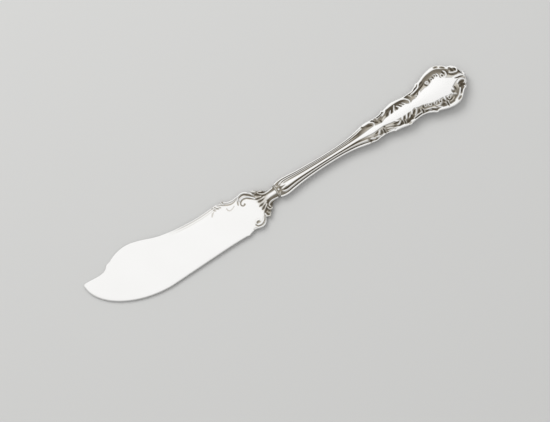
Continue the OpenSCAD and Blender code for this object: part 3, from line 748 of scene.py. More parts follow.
upper_cuts = [
    leaf([(129.9, 3.8), (130.2, 3.45), (130.4, 3.0)], 0.18),
    leaf([(131.8, 2.7), (133.1, 2.5), (134.3, 2.0)], 0.5, 0.3),
    leaf([(134.4, 3.75), (135.1, 3.5), (135.8, 3.0)], 0.22),
    leaf([(135.8, 2.7), (136.2, 2.1), (136.9, 1.7)], 0.4, 0.6),
    leaf([(138.1, 0.8), (138.1, 1.6), (137.9, 2.2)], 0.22),
    leaf([(137.8, 3.66), (139.0, 3.72), (140.2, 4.2)], 0.14, 0.8),
    leaf([(141.1, 1.8), (141.6, 2.3), (142.3, 3.0)], 0.3),
    leaf([(143.4, 1.8), (144.0, 2.7), (144.7, 3.8)], 0.3),
    leaf([(146.3, 1.9), (146.3, 2.6), (146.1, 3.2)], 0.3),
    leaf([(148.5, 2.1), (148.1, 2.7), (147.5, 3.3)], 0.22),
    leaf([(149.9, 2.2), (149.4, 2.8), (148.7, 3.3)], 0.2),
    leaf([(154.6, 3.5), (156.2, 3.85), (158.2, 4.35), (160.0, 4.95), (161.1, 5.6)], 0.3),
    leaf([(156.0, 5.1), (156.7, 5.4), (157.7, 5.65)], 0.22),
    bead((155.45, 2.55), 0.26),
    leaf([(156.4, 2.6), (156.7, 3.1), (157.4, 3.6)], 0.2),
    leaf([(159.1, 5.7), (159.7, 6.1), (160.8, 6.2)], 0.26, 0.7),
    leaf([(161.1, 5.1), (161.2, 4.3), (161.9, 3.65)], 0.22),
    leaf([(163.4, 5.8), (163.5, 5.1), (163.2, 4.3)], 0.26),
    leaf([(165.1, 5.9), (165.3, 5.4), (165.4, 4.8)], 0.24),
    bead((164.3, 5.15), 0.42),
    bead((166.15, 5.7), 0.42),
    leaf([(166.9, 5.9), (167.05, 5.4), (167.1, 4.9)], 0.2),
    bead((169.1, 4.05), 0.38),
    leaf([(169.85, 5.7), (169.95, 4.6), (169.75, 3.4)], 0.28),
    leaf([(168.2, 5.2), (167.9, 4.4), (168.2, 3.5)], 0.22),
    leaf([(171.5, 5.0), (171.55, 4.1), (171.3, 3.1)], 0.26),
    leaf([(167.6, 8.6), (168.6, 8.35), (169.5, 8.0)], 0.38, 1.2),
    leaf([(169.9, 7.55), (170.7, 7.0), (171.7, 6.1)], 0.36, 1.2),
    leaf([(173.4, 4.7), (173.6, 4.0), (173.9, 3.3)], 0.4),
    leaf([(174.5, 4.1), (174.9, 3.7), (175.1, 3.2)], 0.26),
    leaf([(171.6, 3.4), (172.3, 2.6), (173.4, 2.05), (174.7, 1.85), (175.9, 2.1)], 0.3),
]
print(len(upper_strokes), "strokes on the upper side")

# %% Ornament of the lower side
lower_strokes = [
    # tongues that the panel puts out into the hollow
    leaf([(142.6, -1.1), (143.6, -1.9), (144.7, -2.1)], 0.42, 1.1),
    curl((156.95, -2.75), 0.56, 85, 0.85, 0.28),
    curl((158.75, -3.45), 0.68, 85, 0.85, 0.3),
    curl((160.9, -4.1), 0.6, 85, 0.85, 0.28),
    curl((163.0, -4.6), 0.76, 100, 0.85, 0.32, 0.45),
    leaf([(165.4, -3.0), (165.1, -4.2), (165.1, -5.6)], 0.5, 1.1),
    curl((166.95, -5.1), 0.74, 85, 0.85, 0.32),
    lobe([(168.4, -3.0), (168.8, -4.5)], 0.52),
    lobe([(169.5, -1.4), (169.95, -3.1)], 0.54),
    # first swell
    leaf([(130.6, -2.35), (131.9, -2.9), (133.0, -3.45)], 0.5),
    leaf([(130.5, -3.85), (131.4, -3.9), (132.2, -4.0)], 0.34, 0.9),
    leaf([(129.9, -1.3), (131.3, -1.7), (132.6, -2.3)], 0.36, 0.65),
    leaf([(132.8, -2.9), (134.0, -3.3), (135.4, -3.55)], 0.46),
    leaf([(134.2, -2.9), (135.1, -2.2), (135.9, -1.4)], 0.46),
    leaf([(135.4, -3.5), (136.4, -3.65), (137.3, -3.7)], 0.36, 0.95),
    stem([(136.75, -1.6), (136.85, -2.4), (136.6, -3.2)], 0.3, 0.75),
    stem([(137.8, -1.6), (137.9, -2.6), (137.7, -3.5)], 0.3, 0.8),
    # second swell: streaks of a long leaf, a lobe, two ties, and lobes from the panel
    leaf([(138.6, -1.6), (140.2, -2.05), (142.0, -2.7)], 0.4, 0.75),
    leaf([(138.5, -2.45), (139.9, -2.9), (141.5, -3.6)], 0.36, 0.9),
    leaf([(138.2, -3.3), (139.9, -3.75), (142.0, -4.5)], 0.4, 0.95),
    leaf([(141.0, -3.8), (142.4, -4.2), (143.8, -4.5)], 0.54),
    leaf([(142.8, -3.3), (144.1, -3.3), (145.1, -2.4)], 0.46),
    lobe([(146.7, -1.0), (146.2, -2.0), (145.7, -2.6)], 0.52, 0.7),
    stem([(145.95, -3.1), (146.0, -3.9), (145.7, -4.7)], 0.32, 0.85),
    stem([(146.75, -3.4), (146.8, -4.2), (146.5, -4.9)], 0.3, 0.85),
    leaf([(148.6, -1.3), (148.0, -2.5), (147.2, -3.4)], 0.48, 1.1),
    leaf([(149.7, -2.2), (149.3, -2.9), (148.5, -3.6)], 0.4, 1.1),
    leaf([(151.2, -1.2), (150.7, -2.2), (150.1, -2.9)], 0.46, 1.1),
    stem([(151.4, -4.0), (152.4, -3.0), (153.0, -2.1), (152.8, -1.5)], 0.46, 1.0, 0.8),
    stem([(150.4, -4.6), (152.4, -4.3), (154.4, -4.2)], 0.32, 1.0, 1.0),
    stem([(154.35, -3.2), (154.45, -4.1), (154.2, -4.9)], 0.32, 0.9),
    stem([(155.4, -3.3), (155.55, -4.2), (155.2, -5.0)], 0.32, 0.9),
    # bulb: streaks, a lobe, two ties, and the rim's inner branch
    leaf([(155.9, -4.1), (157.6, -4.65), (159.2, -5.1)], 0.38, 0.95),
    leaf([(158.6, -4.8), (159.6, -5.4), (160.6, -6.2)], 0.46),
    leaf([(160.4, -5.1), (161.7, -5.6), (163.2, -5.35)], 0.46, 0.85),
    leaf([(160.8, -5.9), (161.8, -6.4), (162.8, -6.9)], 0.42, 0.85),
    stem([(164.5, -5.9), (164.7, -6.8), (164.5, -7.7)], 0.34, 0.85),
    stem([(165.75, -5.9), (165.6, -6.9), (165.8, -7.9)], 0.34, 0.95),
    leaf([(166.1, -6.75), (167.6, -6.6), (169.0, -6.0)], 0.34, 0.6),
    leaf([(168.6, -4.4), (169.7, -5.0), (170.5, -5.6)], 0.5, 0.85),
    stem([(168.6, -7.5), (170.6, -6.6), (171.9, -5.3), (172.75, -4.2)], 0.5, 1.0, 0.85),
    # lower end volute
    leaf([(172.0, -1.1), (172.5, -2.5), (172.1, -3.9)], 0.5, 0.6),
    stem([(172.8, -1.7), (173.8, -1.2), (174.9, -1.1), (175.75, -1.5), (176.1, -2.2), (175.85, -2.9),
          (175.2, -3.1)], 0.5, 1.1, 0.8),
    bead((173.5, -2.7), 0.34, 0.6),
    bead((174.7, -4.4), 0.55),
]
lower_cuts = [
    leaf([(130.2, -3.9), (130.45, -3.3), (130.6, -2.7)], 0.2),
    leaf([(132.7, -3.9), (133.1, -3.5), (133.2, -3.0)], 0.16),
    leaf([(133.4, -1.8), (134.4, -1.65), (135.0, -1.3)], 0.3, 0.7),
    leaf([(135.9, -3.0), (136.2, -2.3), (136.4, -1.6)], 0.22, 0.8),
    stem([(137.3, -1.7), (137.35, -2.8), (137.25, -3.9)], 0.17),
    bead((138.05, -1.25), 0.36),
    leaf([(142.0, -2.2), (143.0, -2.4), (144.2, -2.55)], 0.3),
    bead((144.75, -3.75), 0.32),
    leaf([(145.3, -2.2), (145.6, -2.8), (145.45, -3.5)], 0.27),
    stem([(146.35, -3.3), (146.4, -4.1), (146.2, -4.8)], 0.14),
    leaf([(147.2, -5.35), (148.0, -5.55), (148.9, -5.4)], 0.2, 0.7),
    leaf([(150.9, -3.1), (151.5, -2.5), (152.2, -1.9)], 0.34),
    leaf([(152.9, -3.7), (153.5, -3.2), (153.9, -2.5)], 0.32),
    stem([(150.7, -4.95), (152.4, -4.75), (154.1, -4.65)], 0.14),
    stem([(154.95, -3.2), (155.05, -4.1), (154.8, -4.9)], 0.16),
    leaf([(156.0, -2.1), (155.8, -2.8), (155.8, -3.4)], 0.3),
    bead((157.0, -2.75), 0.36),
    bead((158.8, -3.45), 0.44),
    leaf([(159.7, -3.5), (159.7, -4.0), (159.5, -4.5)], 0.24),
    bead((160.95, -4.1), 0.4),
    leaf([(162.1, -3.9), (162.1, -4.5), (161.9, -5.0)], 0.22),
    bead((163.1, -4.6), 0.5),
    bead((167.0, -5.1), 0.48),
    leaf([(149.6, -1.6), (149.1, -2.2), (148.4, -3.0)], 0.3),
    leaf([(147.4, -1.8), (146.9, -2.5), (146.5, -3.1)], 0.3),
    leaf([(150.4, -2.6), (150.0, -3.2), (149.2, -3.9)], 0.26),
    leaf([(156.4, -4.75), (157.4, -5.15), (158.5, -5.6)], 0.22),
    leaf([(158.4, -5.3), (159.4, -6.0), (160.4, -6.6)], 0.17),
    leaf([(163.0, -6.1), (163.5, -6.2), (164.1, -6.5)], 0.28),
    leaf([(164.2, -4.3), (164.3, -5.0), (164.7, -5.6)], 0.3),
    leaf([(165.8, -4.5), (165.9, -5.2), (166.2, -5.9)], 0.26),
    stem([(165.15, -6.1), (165.1, -7.2), (165.15, -8.2)], 0.17),
    leaf([(166.4, -6.1), (167.3, -6.0), (168.1, -5.6)], 0.24),
    leaf([(169.1, -3.3), (169.6, -4.0), (170.3, -4.1)], 0.28),
    leaf([(170.9, -4.0), (171.0, -3.1), (170.8, -2.2)], 0.3),
    leaf([(169.6, -7.85), (170.5, -7.5), (171.6, -7.0)], 0.36, 1.2),
    leaf([(171.8, -6.4), (172.4, -5.8), (173.2, -4.7)], 0.28, 1.2),
    leaf([(172.9, -2.3), (174.2, -2.2), (175.4, -2.3)], 0.62, 1.1),
    leaf([(172.7, -3.4), (174.0, -3.4), (175.2, -3.75)], 0.48, 1.1),
]
print(len(lower_strokes), "strokes on the lower side")

# %% Ornament of the end
flame_strokes = [
    leaf([(171.6, 1.1), (173.5, 1.05), (175.2, 0.8), (176.7, 0.8)], 0.5),
    leaf([(172.0, -0.4), (173.6, -0.5), (175.0, -0.7)], 0.4, 0.7),
    bead((177.1, 0.7), 0.55),
    bead((176.8, -0.35), 0.5, 0.8),
]
flame_cuts = [
    leaf([(172.8, 0.45), (174.0, 0.1), (175.2, -0.1), (176.3, -0.5)], 0.3),
    leaf([(175.1, 2.0), (175.7, 1.75), (176.2, 1.3)], 0.22),
    leaf([(176.45, 1.5), (176.5, 0.8), (176.55, 0.1)], 0.18, 0.7),
]
handle_strokes = shoulder_strokes + upper_strokes + lower_strokes + flame_strokes
handle_cuts = shoulder_cuts + upper_cuts + lower_cuts + flame_cuts
print(len(handle_strokes), "strokes and", len(handle_cuts), "cuts on each shell")

# %% [markdown]
# ## Relief of the handle
#
# One function gives the relief at any place: the highest of rim, thread, rib or panel, and strokes,
# less the cuts. The grid has its own rows for the rim, which keeps its round profile however wide
# it gets, and for what lies inside it. Across the rim the section falls only a little, so that the
# rim lies like a shelf round the field and catches the light as one bright band.

# %% Rows across a side
RIM_ROWS = 14
BORDER_ROWS = 29
SLOPE_ROWS = 13
CALM_ROWS = 7
PANEL_ROWS = 5
panel_soft = 0.5
brow_least = 0.6
calm_wide = 0.6
calm_least = 0.4


def side_rows(half, within, panel):
    """Places across one side from its edge to its middle: cosine steps over the rim, then even ones
    over the border, the slope up to the panel, a calm strip and the panel. With them come the
    places of the slope's foot and brow."""
    foot = np.minimum(panel + panel_soft, mix(panel, within, 0.5))
    brow = np.maximum(panel - panel_soft, brow_least * panel)
    calm = np.maximum(brow - calm_wide, calm_least * brow)
    rim_share = (1 - np.cos(np.linspace(0, 1, RIM_ROWS, endpoint=False) * np.pi)) / 2
    bands = [mix(half, within, rim_share)]
    spans = ((within, foot, BORDER_ROWS), (foot, brow, SLOPE_ROWS), (brow, calm, CALM_ROWS))
    for start, end, count in spans:
        bands.append(mix(start, end, np.linspace(0, 1, count, endpoint=False)))
    bands.append(calm * (1 - np.linspace(0, 1, PANEL_ROWS + 1)))
    return np.concatenate(bands, axis=1), foot, brow


SIDE_ROWS = RIM_ROWS + BORDER_ROWS + SLOPE_ROWS + CALM_ROWS + PANEL_ROWS + 1
print("each side of a shell has", SIDE_ROWS, "rows")

# %% Raised sections and threads
thread_power = 2.4
thread_high = 0.95
thread_starts = (89.2, 90.4)


def swell(offset, power):
    """A raised section: (1 - |offset|^power)^(1/power), round at power 2 and flatter above."""
    return np.maximum(0, 1 - np.abs(offset) ** power) ** (1 / power)


def threads_between(panel, within, lines, x, y):
    """Raised lines that each keep a share of the gap from panel to rim. They start at the shoulder,
    and each fades before its last place."""
    gap = within - panel
    height = np.zeros_like(y)
    for share_curve, half_share, (fades_from, last) in lines:
        middle = panel + gap * curve_through(share_curve, x)
        ridge = swell((y - middle) / (half_share * gap), thread_power)
        length = soft_step(*thread_starts, x) * soft_step(last, fades_from, x)
        height = np.maximum(height, thread_high * ridge * length)
    return height


print("a swell of power 3 is at %.2f half way out" % swell(0.5, 3))

# %% Relief across a side
least_lean = 0.6
rim_most = 0.5
rim_powers = (3, 3.4)
rim_fall = 0.3
panel_most = 0.8
shaft_rib_power = 2.8
shaft_rib_starts = (90.4, 91.8)
floor_lap = 0.1
ornate_grows = (123, 132)
field_sinks = (122, 132)
field_most = 0.3
stroke_most = 1.03
stroke_guard = 1.1
cut_share = 0.6
blur_rounds = 2
flush_end = (knife_length - 1.9, knife_length - 0.9)
end_squares = (170, 175)
tarnish_and_shade_kept = 0.9
rim_tarnish_and_shade_starts = (0.5, 0.9)
bulb_starts = (154, 160)
bulb_contrast = 0.9


def side_of_handle(half_curve, rim_curve, panel_curve, floor_curve, lines, sign):
    """One side of the shell from its edge to its middle: places, heights above the middle plane,
    and how much tarnishing and painted shade each place gets, from 0 to 1, which follows how deep it lies."""
    x = handle_x[:, None]
    half = half_curve(handle_x)[:, None]
    lean = np.maximum(square_on(half[:, 0], handle_x)[:, None], least_lean)
    rim = np.minimum(curve_through(rim_curve, x), rim_most * half * lean)
    within = half - rim / lean
    panel = np.minimum(curve_through(panel_curve, x), panel_most * within)
    y, foot, brow = side_rows(half, within, panel)
    place_x = np.array(np.broadcast_to(x, y.shape))

    # height of everything raised, where 1 is flush with the crown and 0 is the sunk field
    ornate = soft_step(*ornate_grows, x)
    from_rim = (half - y) * lean
    rim_rise = swell(2 * from_rim / rim - 1, mix(*rim_powers, ornate)) * (from_rim < rim)
    shaft_rib = swell(y / panel, shaft_rib_power) * (y < panel) * soft_step(*shaft_rib_starts, x)
    pillow = soft_step(foot, brow, y)
    floor_rise = curve_through(floor_curve, x) * soft_step(within - floor_lap, panel, y)
    centre = mix(shaft_rib, np.maximum(pillow, floor_rise), ornate)
    thread_rise = threads_between(panel, within, lines, x, y)
    strokes = np.minimum(relief_of(handle_strokes, place_x, sign * y), stroke_most)
    cuts = relief_of(handle_cuts, place_x, sign * y) * np.clip(1 - stroke_guard * strokes, 0, 1)
    raised = np.maximum.reduce([rim_rise, centre, thread_rise, strokes]) - cut_share * cuts
    raised = mix(smoothed(raised, blur_rounds), 1, soft_step(*flush_end, x))

    # tarnish and painted shade: it follows the depth, turns sharper on the bulb, and leaves the rim's
    # outside bright
    depth = np.clip(1 - raised, 0, 1)
    depth = mix(depth, soft_step(0, 1, depth), bulb_contrast * soft_step(*bulb_starts, x))
    behind_rim = soft_step(rim_tarnish_and_shade_starts[0] * rim, rim_tarnish_and_shade_starts[1] * rim, from_rim)
    tarnish_and_shade = tarnish_and_shade_kept * curve_through(tarnish_and_shade_along, x) * depth * behind_rim
    tarnish_and_shade = smoothed(np.clip(tarnish_and_shade + cuts, 0, 1), blur_rounds)

    # section: a low crown on a side wall, less whatever is sunk
    thick = curve_through(half_thickness, x)
    shelf = np.minimum(y, mix(within, y, rim_fall))
    wall_share = mix(side_share, end_share, soft_step(*end_squares, x))
    crown = thick * (1 - (1 - wall_share) * (shelf / half) ** 2)
    sink = mix(shaft_field, border_field, soft_step(*field_sinks, x))
    sink = np.minimum(sink, field_most * thick)
    return place_x, sign * y, crown - sink * (1 - raised), tarnish_and_shade


upper = side_of_handle(upper_half, upper_rim, upper_panel, upper_floor, upper_threads, 1)
lower = side_of_handle(lower_half, lower_rim, lower_panel, lower_floor, lower_threads, -1)
both_sides = [np.concatenate([a, b[:, -2::-1]], axis=1) for a, b in zip(upper, lower)]
skin_x, skin_y, skin_z, skin_tarnish_and_shade = both_sides
print("shell grid", skin_x.shape, "height up to %.2f mm" % skin_z.max())

# %% [markdown]
# ## The two shells
#
# A shell is struck from thin sheet, so it has an inside too, here called its lining: a plain arch
# behind the relief. The outside, with its side walls, and the lining make one ring of points at
# each station, and a flat seam joins them on both sides. Flat faces close the mouth and the far
# end. The rear shell is the front one mirrored, as struck from a pair of dies.

# %% Outside and lining of a shell
WALL_ROWS = 3
LINING_POINTS = 11
seam_inset = 0.03
lining_wall = 0.42
lining_under = 0.74
lining_end = 4.05
lining_turn = 160.0
lining_least_half = 0.06
lining_least_thick = 0.1


def side_wall(x, y, z):
    """Points up a side wall from the seam, which is cut in a hair, to the edge of the relief."""
    share = np.linspace(0, 1, WALL_ROWS, endpoint=False)[None, :]
    wall_y = y[:, None] - np.sign(y)[:, None] * seam_inset * (share == 0)
    return np.stack([np.broadcast_to(x[:, None], wall_y.shape), wall_y, z[:, None] * share], axis=-1)


skin = np.stack([skin_x, skin_y, skin_z], axis=-1)
near_wall = side_wall(*skin[:, 0].T)
far_wall = side_wall(*skin[:, -1].T)[:, ::-1]
outer = np.concatenate([near_wall, skin, far_wall], axis=1)

# the lining keeps step with the outside, and falls back only near the closed end
lining_x = handle_x - lining_end * soft_step(lining_turn, knife_length, handle_x)
half_here = (upper_half(lining_x) + lower_half(lining_x)) / 2
lining_half = np.minimum(half_here, handle_width / 2) - lining_wall
lining_half = np.maximum(lining_half, lining_least_half)[:, None]
thick_here, thick_outside = (curve_through(half_thickness, x) for x in (lining_x, handle_x))
lining_thick = np.minimum(thick_here, thick_outside) - lining_under
lining_thick = np.maximum(lining_thick, lining_least_thick)[:, None]
sweep = np.cos(np.linspace(0, np.pi, LINING_POINTS))
arch_z = lining_thick * (1 - (1 - side_share) * sweep ** 2)
arch_z[:, [0, -1]] = 0
arch_x = np.broadcast_to(lining_x[:, None], arch_z.shape)
lining = np.stack([arch_x, lining_half * sweep, arch_z], axis=-1)
print("lining up to %.2f mm wide" % (2 * lining_half.max()))

# %% Shell meshes
ring = np.concatenate([outer, lining[:, ::-1]], axis=1)
count, around = ring.shape[:2]
outer_around = outer.shape[1]
last = (count - 1) * around
mouth_face = np.arange(around)[None, ::-1]
end_outer = last + np.arange(outer_around)[None, :]
end_lining = last + outer_around + np.arange(LINING_POINTS)[None, :]
end_seam = last + np.array([[outer_around - 1, outer_around, around - 1, 0]])
shell_faces = [grid_faces(count, around, closed=True), mouth_face, end_outer, end_lining, end_seam]

# the outside carries its tarnish and painted shade; the walls and the lining get none
shell_tarnish_and_shade = np.zeros((count, around))
shell_tarnish_and_shade[:, WALL_ROWS:WALL_ROWS + skin.shape[1]] = skin_tarnish_and_shade
shell_marks = {"tarnish_and_shade": shell_tarnish_and_shade.ravel()}
front_shell = make_piece("handle_shell_front", ring.reshape(-1, 3), shell_faces, shell_marks)
rear_ring = ring * np.array([1, 1, -1])
rear_shell = make_piece("handle_shell_rear", rear_ring.reshape(-1, 3), shell_faces, shell_marks)

# %% [markdown]
# ## The mouth plate
#
# A small plate closes the mouth of the handle, and the tang passes through a slot in it. Its edge
# is rounded over by filing after soldering. A closed profile, from the slot's wall out to the
# rounded edge and back, is carried once round the mouth, which gives a ring with no open seam.

# %% Mouth plate
PLATE_AROUND = 120
PLATE_PROFILE = 24
plate_half = (2.7, 1.44)
plate_power = 3.0
plate_flare = 0.9
plate_edge_power = 0.35
plate_face_power = 0.6
plate_fill = 0.49
slot_half = (0.98, 0.58)
slot_power = 10
# painted shade: the ring is darkened all over, partly as tarnish in the join and partly so that it reads as
# a shaded groove; its two flat faces, against the neck and the shell, get more shade
plate_tarnish_and_shade = 0.42
plate_face_shade = 0.15
plate_face_focus = 4
plate_thick = mouth_at - neck_end
plate_middle = (neck_end + mouth_at) / 2


def signed_power(value, power):
    """A power of the value's size that keeps its sign."""
    return np.sign(value) * np.abs(value) ** power


def squared_ring(half, power, angle):
    """A rounded rectangle: half width and half height times signed powers of cosine and sine."""
    return np.stack([half[0] * signed_power(np.cos(angle), 2 / power),
                     half[1] * signed_power(np.sin(angle), 2 / power)], axis=-1)[:, None, :]


angle = np.linspace(0, 2 * np.pi, PLATE_AROUND, endpoint=False)
turn = np.linspace(0, 2 * np.pi, PLATE_PROFILE, endpoint=False)
out_share = 0.5 + 0.5 * signed_power(np.cos(turn), plate_edge_power)
plate_x = plate_middle + plate_fill * plate_thick * signed_power(np.sin(turn), plate_face_power)
flare = mix(plate_flare, 1, (plate_x - neck_end) / plate_thick)[None, :, None]
slot_ring = squared_ring(slot_half, slot_power, angle)
edge_ring = squared_ring(plate_half, plate_power, angle)
plate_yz = mix(slot_ring, edge_ring * flare, out_share[None, :, None])
plate_across = np.broadcast_to(plate_x[None, :, None], (PLATE_AROUND, PLATE_PROFILE, 1))
plate_points = np.concatenate([plate_across, plate_yz], axis=-1).reshape(-1, 3)
plate_faces = grid_faces(PLATE_AROUND + 1, PLATE_PROFILE, closed=True) % len(plate_points)
# the ring's tarnish and painted shade, with more painted shade on its two flat faces
profile_tarnish_and_shade = plate_tarnish_and_shade + plate_face_shade * np.abs(np.sin(turn)) ** plate_face_focus
plate_marks = {"tarnish_and_shade": np.tile(profile_tarnish_and_shade, PLATE_AROUND)}
mouth_plate = make_piece("mouth_plate_ring", plate_points, [plate_faces], plate_marks)

# %% [markdown]
# ## Polish marks
#
# Use leaves hairline scratches and slow waves of polish in silver. More than one finish shows them,
# so they are a node group, built once. It puts out a height, a shift of roughness and a shade, and
# each material places it with its own scales. Noise on Object coordinates stays fixed to the piece,
# and a Mapping node stretches it into scratches.

# %% Helpers for nodes
def feed(tree, node, inputs):
    """Give inputs of a node, by name or number, a plain value or a link from another's output."""
    for name, value in inputs.items():
        if isinstance(value, bpy.types.NodeSocket):
            tree.links.new(value, node.inputs[name])
        else:
            node.inputs[name].default_value = value


def add_node(tree, kind, inputs, **settings):
    """A new node with some of its settings, given by name, and its inputs fed."""
    node = tree.nodes.new(kind)
    for name, value in settings.items():
        setattr(node, name, value)
    feed(tree, node, inputs)
    return node


def noise(tree, inputs):
    """Value of a noise texture."""
    return add_node(tree, "ShaderNodeTexNoise", inputs).outputs["Fac"]


def carried(tree, value, old, new):
    """A value carried from its old range to a new one, and held at the ends."""
    names = ("From Min", "From Max", "To Min", "To Max")
    inputs = dict(zip(names, (*old, *new)), Value=value)
    return add_node(tree, "ShaderNodeMapRange", inputs).outputs["Result"]


def computed(tree, operation, *terms, clamp=False):
    """Result of a Math node on a few terms, clamped to 0 and 1 if asked."""
    inputs = dict(enumerate(terms))
    return add_node(tree, "ShaderNodeMath", inputs, operation=operation, use_clamp=clamp).outputs[0]


print("helpers:", feed.__name__, add_node.__name__, noise.__name__, carried.__name__, computed.__name__)

# %% Polish marks, a shared node group
# each way of the scratches: its turn in radians and how far the noise is stretched
scratch_ways = ((0.3, 14.0), (-0.9, 9.0))
wave_range = (0.3, 0.7)
shift_range = (-0.5, 0.5)


def polish_marks_group():
    """Noise stretched along two directions for scratches, and slow noise for waves of polish.
    Puts out a height for a bump, a shift of roughness and a shade for the colour."""
    group = bpy.data.node_groups.new("polish marks", "ShaderNodeTree")
    for way, names in (("INPUT", ("Scratch Scale", "Wave Scale")),
                       ("OUTPUT", ("Height", "Roughness Shift", "Shade"))):
        for name in names:
            group.interface.new_socket(name, in_out=way, socket_type="NodeSocketFloat")
    scales = group.nodes.new("NodeGroupInput").outputs
    place = group.nodes.new("ShaderNodeTexCoord").outputs["Object"]
    scratches = []
    for turn_by, stretch in scratch_ways:
        laid = {"Vector": place, "Rotation": (0, 0, turn_by), "Scale": (1, stretch, 1)}
        along = add_node(group, "ShaderNodeMapping", laid).outputs["Vector"]
        fine = {"Vector": along, "Scale": scales["Scratch Scale"], "Detail": 3.0, "Roughness": 0.6}
        scratches.append(noise(group, fine))
    waves = noise(group, {"Vector": place, "Scale": scales["Wave Scale"], "Detail": 2.0})
    add_node(group, "NodeGroupOutput", {
        "Height": computed(group, "ADD", *scratches),
        "Roughness Shift": carried(group, waves, wave_range, shift_range),
        "Shade": waves})
    return group


polish_marks = polish_marks_group()
print("node group:", polish_marks.name, [item.name for item in polish_marks.interface.items_tree])

# %% [markdown]
# ## Polished silver
#
# Silver is bright and nearly neutral, a little warm. Its recesses keep a sulphide tarnish that no
# polishing reaches, straw coloured where it is thin and dark brown where it is thick. The same colours
# paint shade too, in the hollows, beside the raised work and between pieces, where polished metal
# would mirror dark surroundings. The pieces carry a value of tarnish and painted shade at every
# point. The material turns that into straw and then dark brown, broken by fine noise so that it
# isn't even, and dulls the metal with it.

# %% Silver finishes
scratch_scale = 260.0
wave_scale = 70.0
wave_roughness = 0.06
scratch_height = 0.00002
breakup_scale = 2500.0
breakup_range = (0.88, 1.08)
straw_tarnish_and_shade_full = 0.5


def new_finish(name):
    """A new material, its node tree and its Principled shader."""
    material = bpy.data.materials.new(name)
    material.use_nodes = True
    tree = material.node_tree
    return material, tree, tree.nodes["Principled BSDF"]


def blend(tree, share, first, second):
    """Colour that runs from the first to the second by a share."""
    inputs = {"Factor": share, "A": first, "B": second}
    return add_node(tree, "ShaderNodeMix", inputs, data_type="RGBA").outputs["Result"]


def silver_finish(name, bright, worn, straw_tarnish_and_shade, brown_tarnish_and_shade, smooth, rough, bump):
    """Metal whose colour runs between two brights by the polish waves. Where the piece's value of
    tarnishing and painted shade rises, it turns pale yellowish brown at a half and from there dark
    brown, as tarnished silver does and as shade painted into its hollows. Roughness follows both, and
    scratches feed a fine bump."""
    material, tree, shader = new_finish(name)
    scales = {"Scratch Scale": scratch_scale, "Wave Scale": wave_scale}
    marks = add_node(tree, "ShaderNodeGroup", scales, node_tree=polish_marks)
    place = add_node(tree, "ShaderNodeTexCoord", {}).outputs["Object"]
    tarnish_and_shade = add_node(tree, "ShaderNodeAttribute", {}, attribute_name="tarnish_and_shade").outputs["Fac"]
    breakup = noise(tree, {"Vector": place, "Scale": breakup_scale, "Detail": 4.0})
    uneven = carried(tree, breakup, (0, 1), breakup_range)
    # dark: the pieces' tarnish and painted shade together, broken by noise
    dark = computed(tree, "MULTIPLY", tarnish_and_shade, uneven, clamp=True)

    colour = blend(tree, marks.outputs["Shade"], (*worn, 1), (*bright, 1))
    for tone, reach in ((straw_tarnish_and_shade, (0, straw_tarnish_and_shade_full)), (brown_tarnish_and_shade, (straw_tarnish_and_shade_full, 1))):
        colour = blend(tree, carried(tree, dark, reach, (0, 1)), colour, (*tone, 1))
    waved = computed(tree, "MULTIPLY_ADD", marks.outputs["Roughness Shift"], wave_roughness, smooth)
    dulled = computed(tree, "MULTIPLY_ADD", dark, rough - smooth, waved, clamp=True)
    scratched = {"Strength": bump, "Distance": scratch_height, "Height": marks.outputs["Height"]}
    ridges = add_node(tree, "ShaderNodeBump", scratched).outputs["Normal"]
    feed(tree, shader, {"Metallic": 1.0, "Base Color": colour, "Roughness": dulled, "Normal": ridges})
    return material


polished_silver = silver_finish(
    "polished silver", bright=(0.96, 0.955, 0.945), worn=(0.91, 0.905, 0.89), straw_tarnish_and_shade=(0.5, 0.46, 0.385),
    brown_tarnish_and_shade=(0.1, 0.08, 0.055), smooth=0.13, rough=0.42, bump=0.25)
soldered_silver = silver_finish(
    "soldered silver", bright=(0.86, 0.85, 0.82), worn=(0.78, 0.76, 0.72), straw_tarnish_and_shade=(0.46, 0.43, 0.37),
    brown_tarnish_and_shade=(0.1, 0.085, 0.07), smooth=0.25, rough=0.5, bump=0.4)
print("finishes:", polished_silver.name, "and", soldered_silver.name)

# %% [markdown]
# ## Cement
#
# The handle is filled with a dull brown resin cement, poured in warm, which holds the tang. None of
# it shows, but a shell taken off would uncover it, so it gets its own mottling, pores and colour.

# %% Cement finish
dark_resin = (0.2, 0.11, 0.06, 1)
pale_resin = (0.42, 0.27, 0.16, 1)
resin_roughness = (0.7, 0.95)
mottle_scale = 220.0
pore_scale = 900.0
pore_depth = 0.0001
pore_strength = 0.6


def cement_finish():
    """Matte brown, mottled by slow noise, with round pores as bump."""
    material, tree, shader = new_finish("resin cement")
    place = add_node(tree, "ShaderNodeTexCoord", {}).outputs["Object"]
    mottle = noise(tree, {"Vector": place, "Scale": mottle_scale, "Detail": 5.0})
    pores = add_node(tree, "ShaderNodeTexVoronoi", {"Vector": place, "Scale": pore_scale})
    pitted = {"Strength": pore_strength, "Distance": pore_depth, "Height": pores.outputs["Distance"]}
    feed(tree, shader, {
        "Base Color": blend(tree, mottle, dark_resin, pale_resin),
        "Roughness": carried(tree, mottle, (0, 1), resin_roughness),
        "Normal": add_node(tree, "ShaderNodeBump", pitted).outputs["Normal"]})
    return material


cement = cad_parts["cement_filling"]
cement.data.materials.clear()
cement.data.materials.append(cement_finish())
print("cement keeps its CAD shape, with", cement.data.materials[0].name)

# %% [markdown]
# ## Dressing the frame
#
# Each new piece stands for a solid of the drawing, takes the finish listed beside it, and rides on
# the knife's only body, because nothing on it moves.

# %% Dress the frame
dressing = [
    (blade, "blade", polished_silver, "polished_silver"),
    (front_shell, "handle_front", polished_silver, "polished_silver"),
    (rear_shell, "handle_back", polished_silver, "polished_silver"),
    (mouth_plate, "mouth_plate", soldered_silver, "soldered_silver"),
]
for piece, node, finish, slot in dressing:
    piece.data.materials.append(finish)
    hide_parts(node)
    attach(piece, "root")
    print(piece.name, "stands for", node)
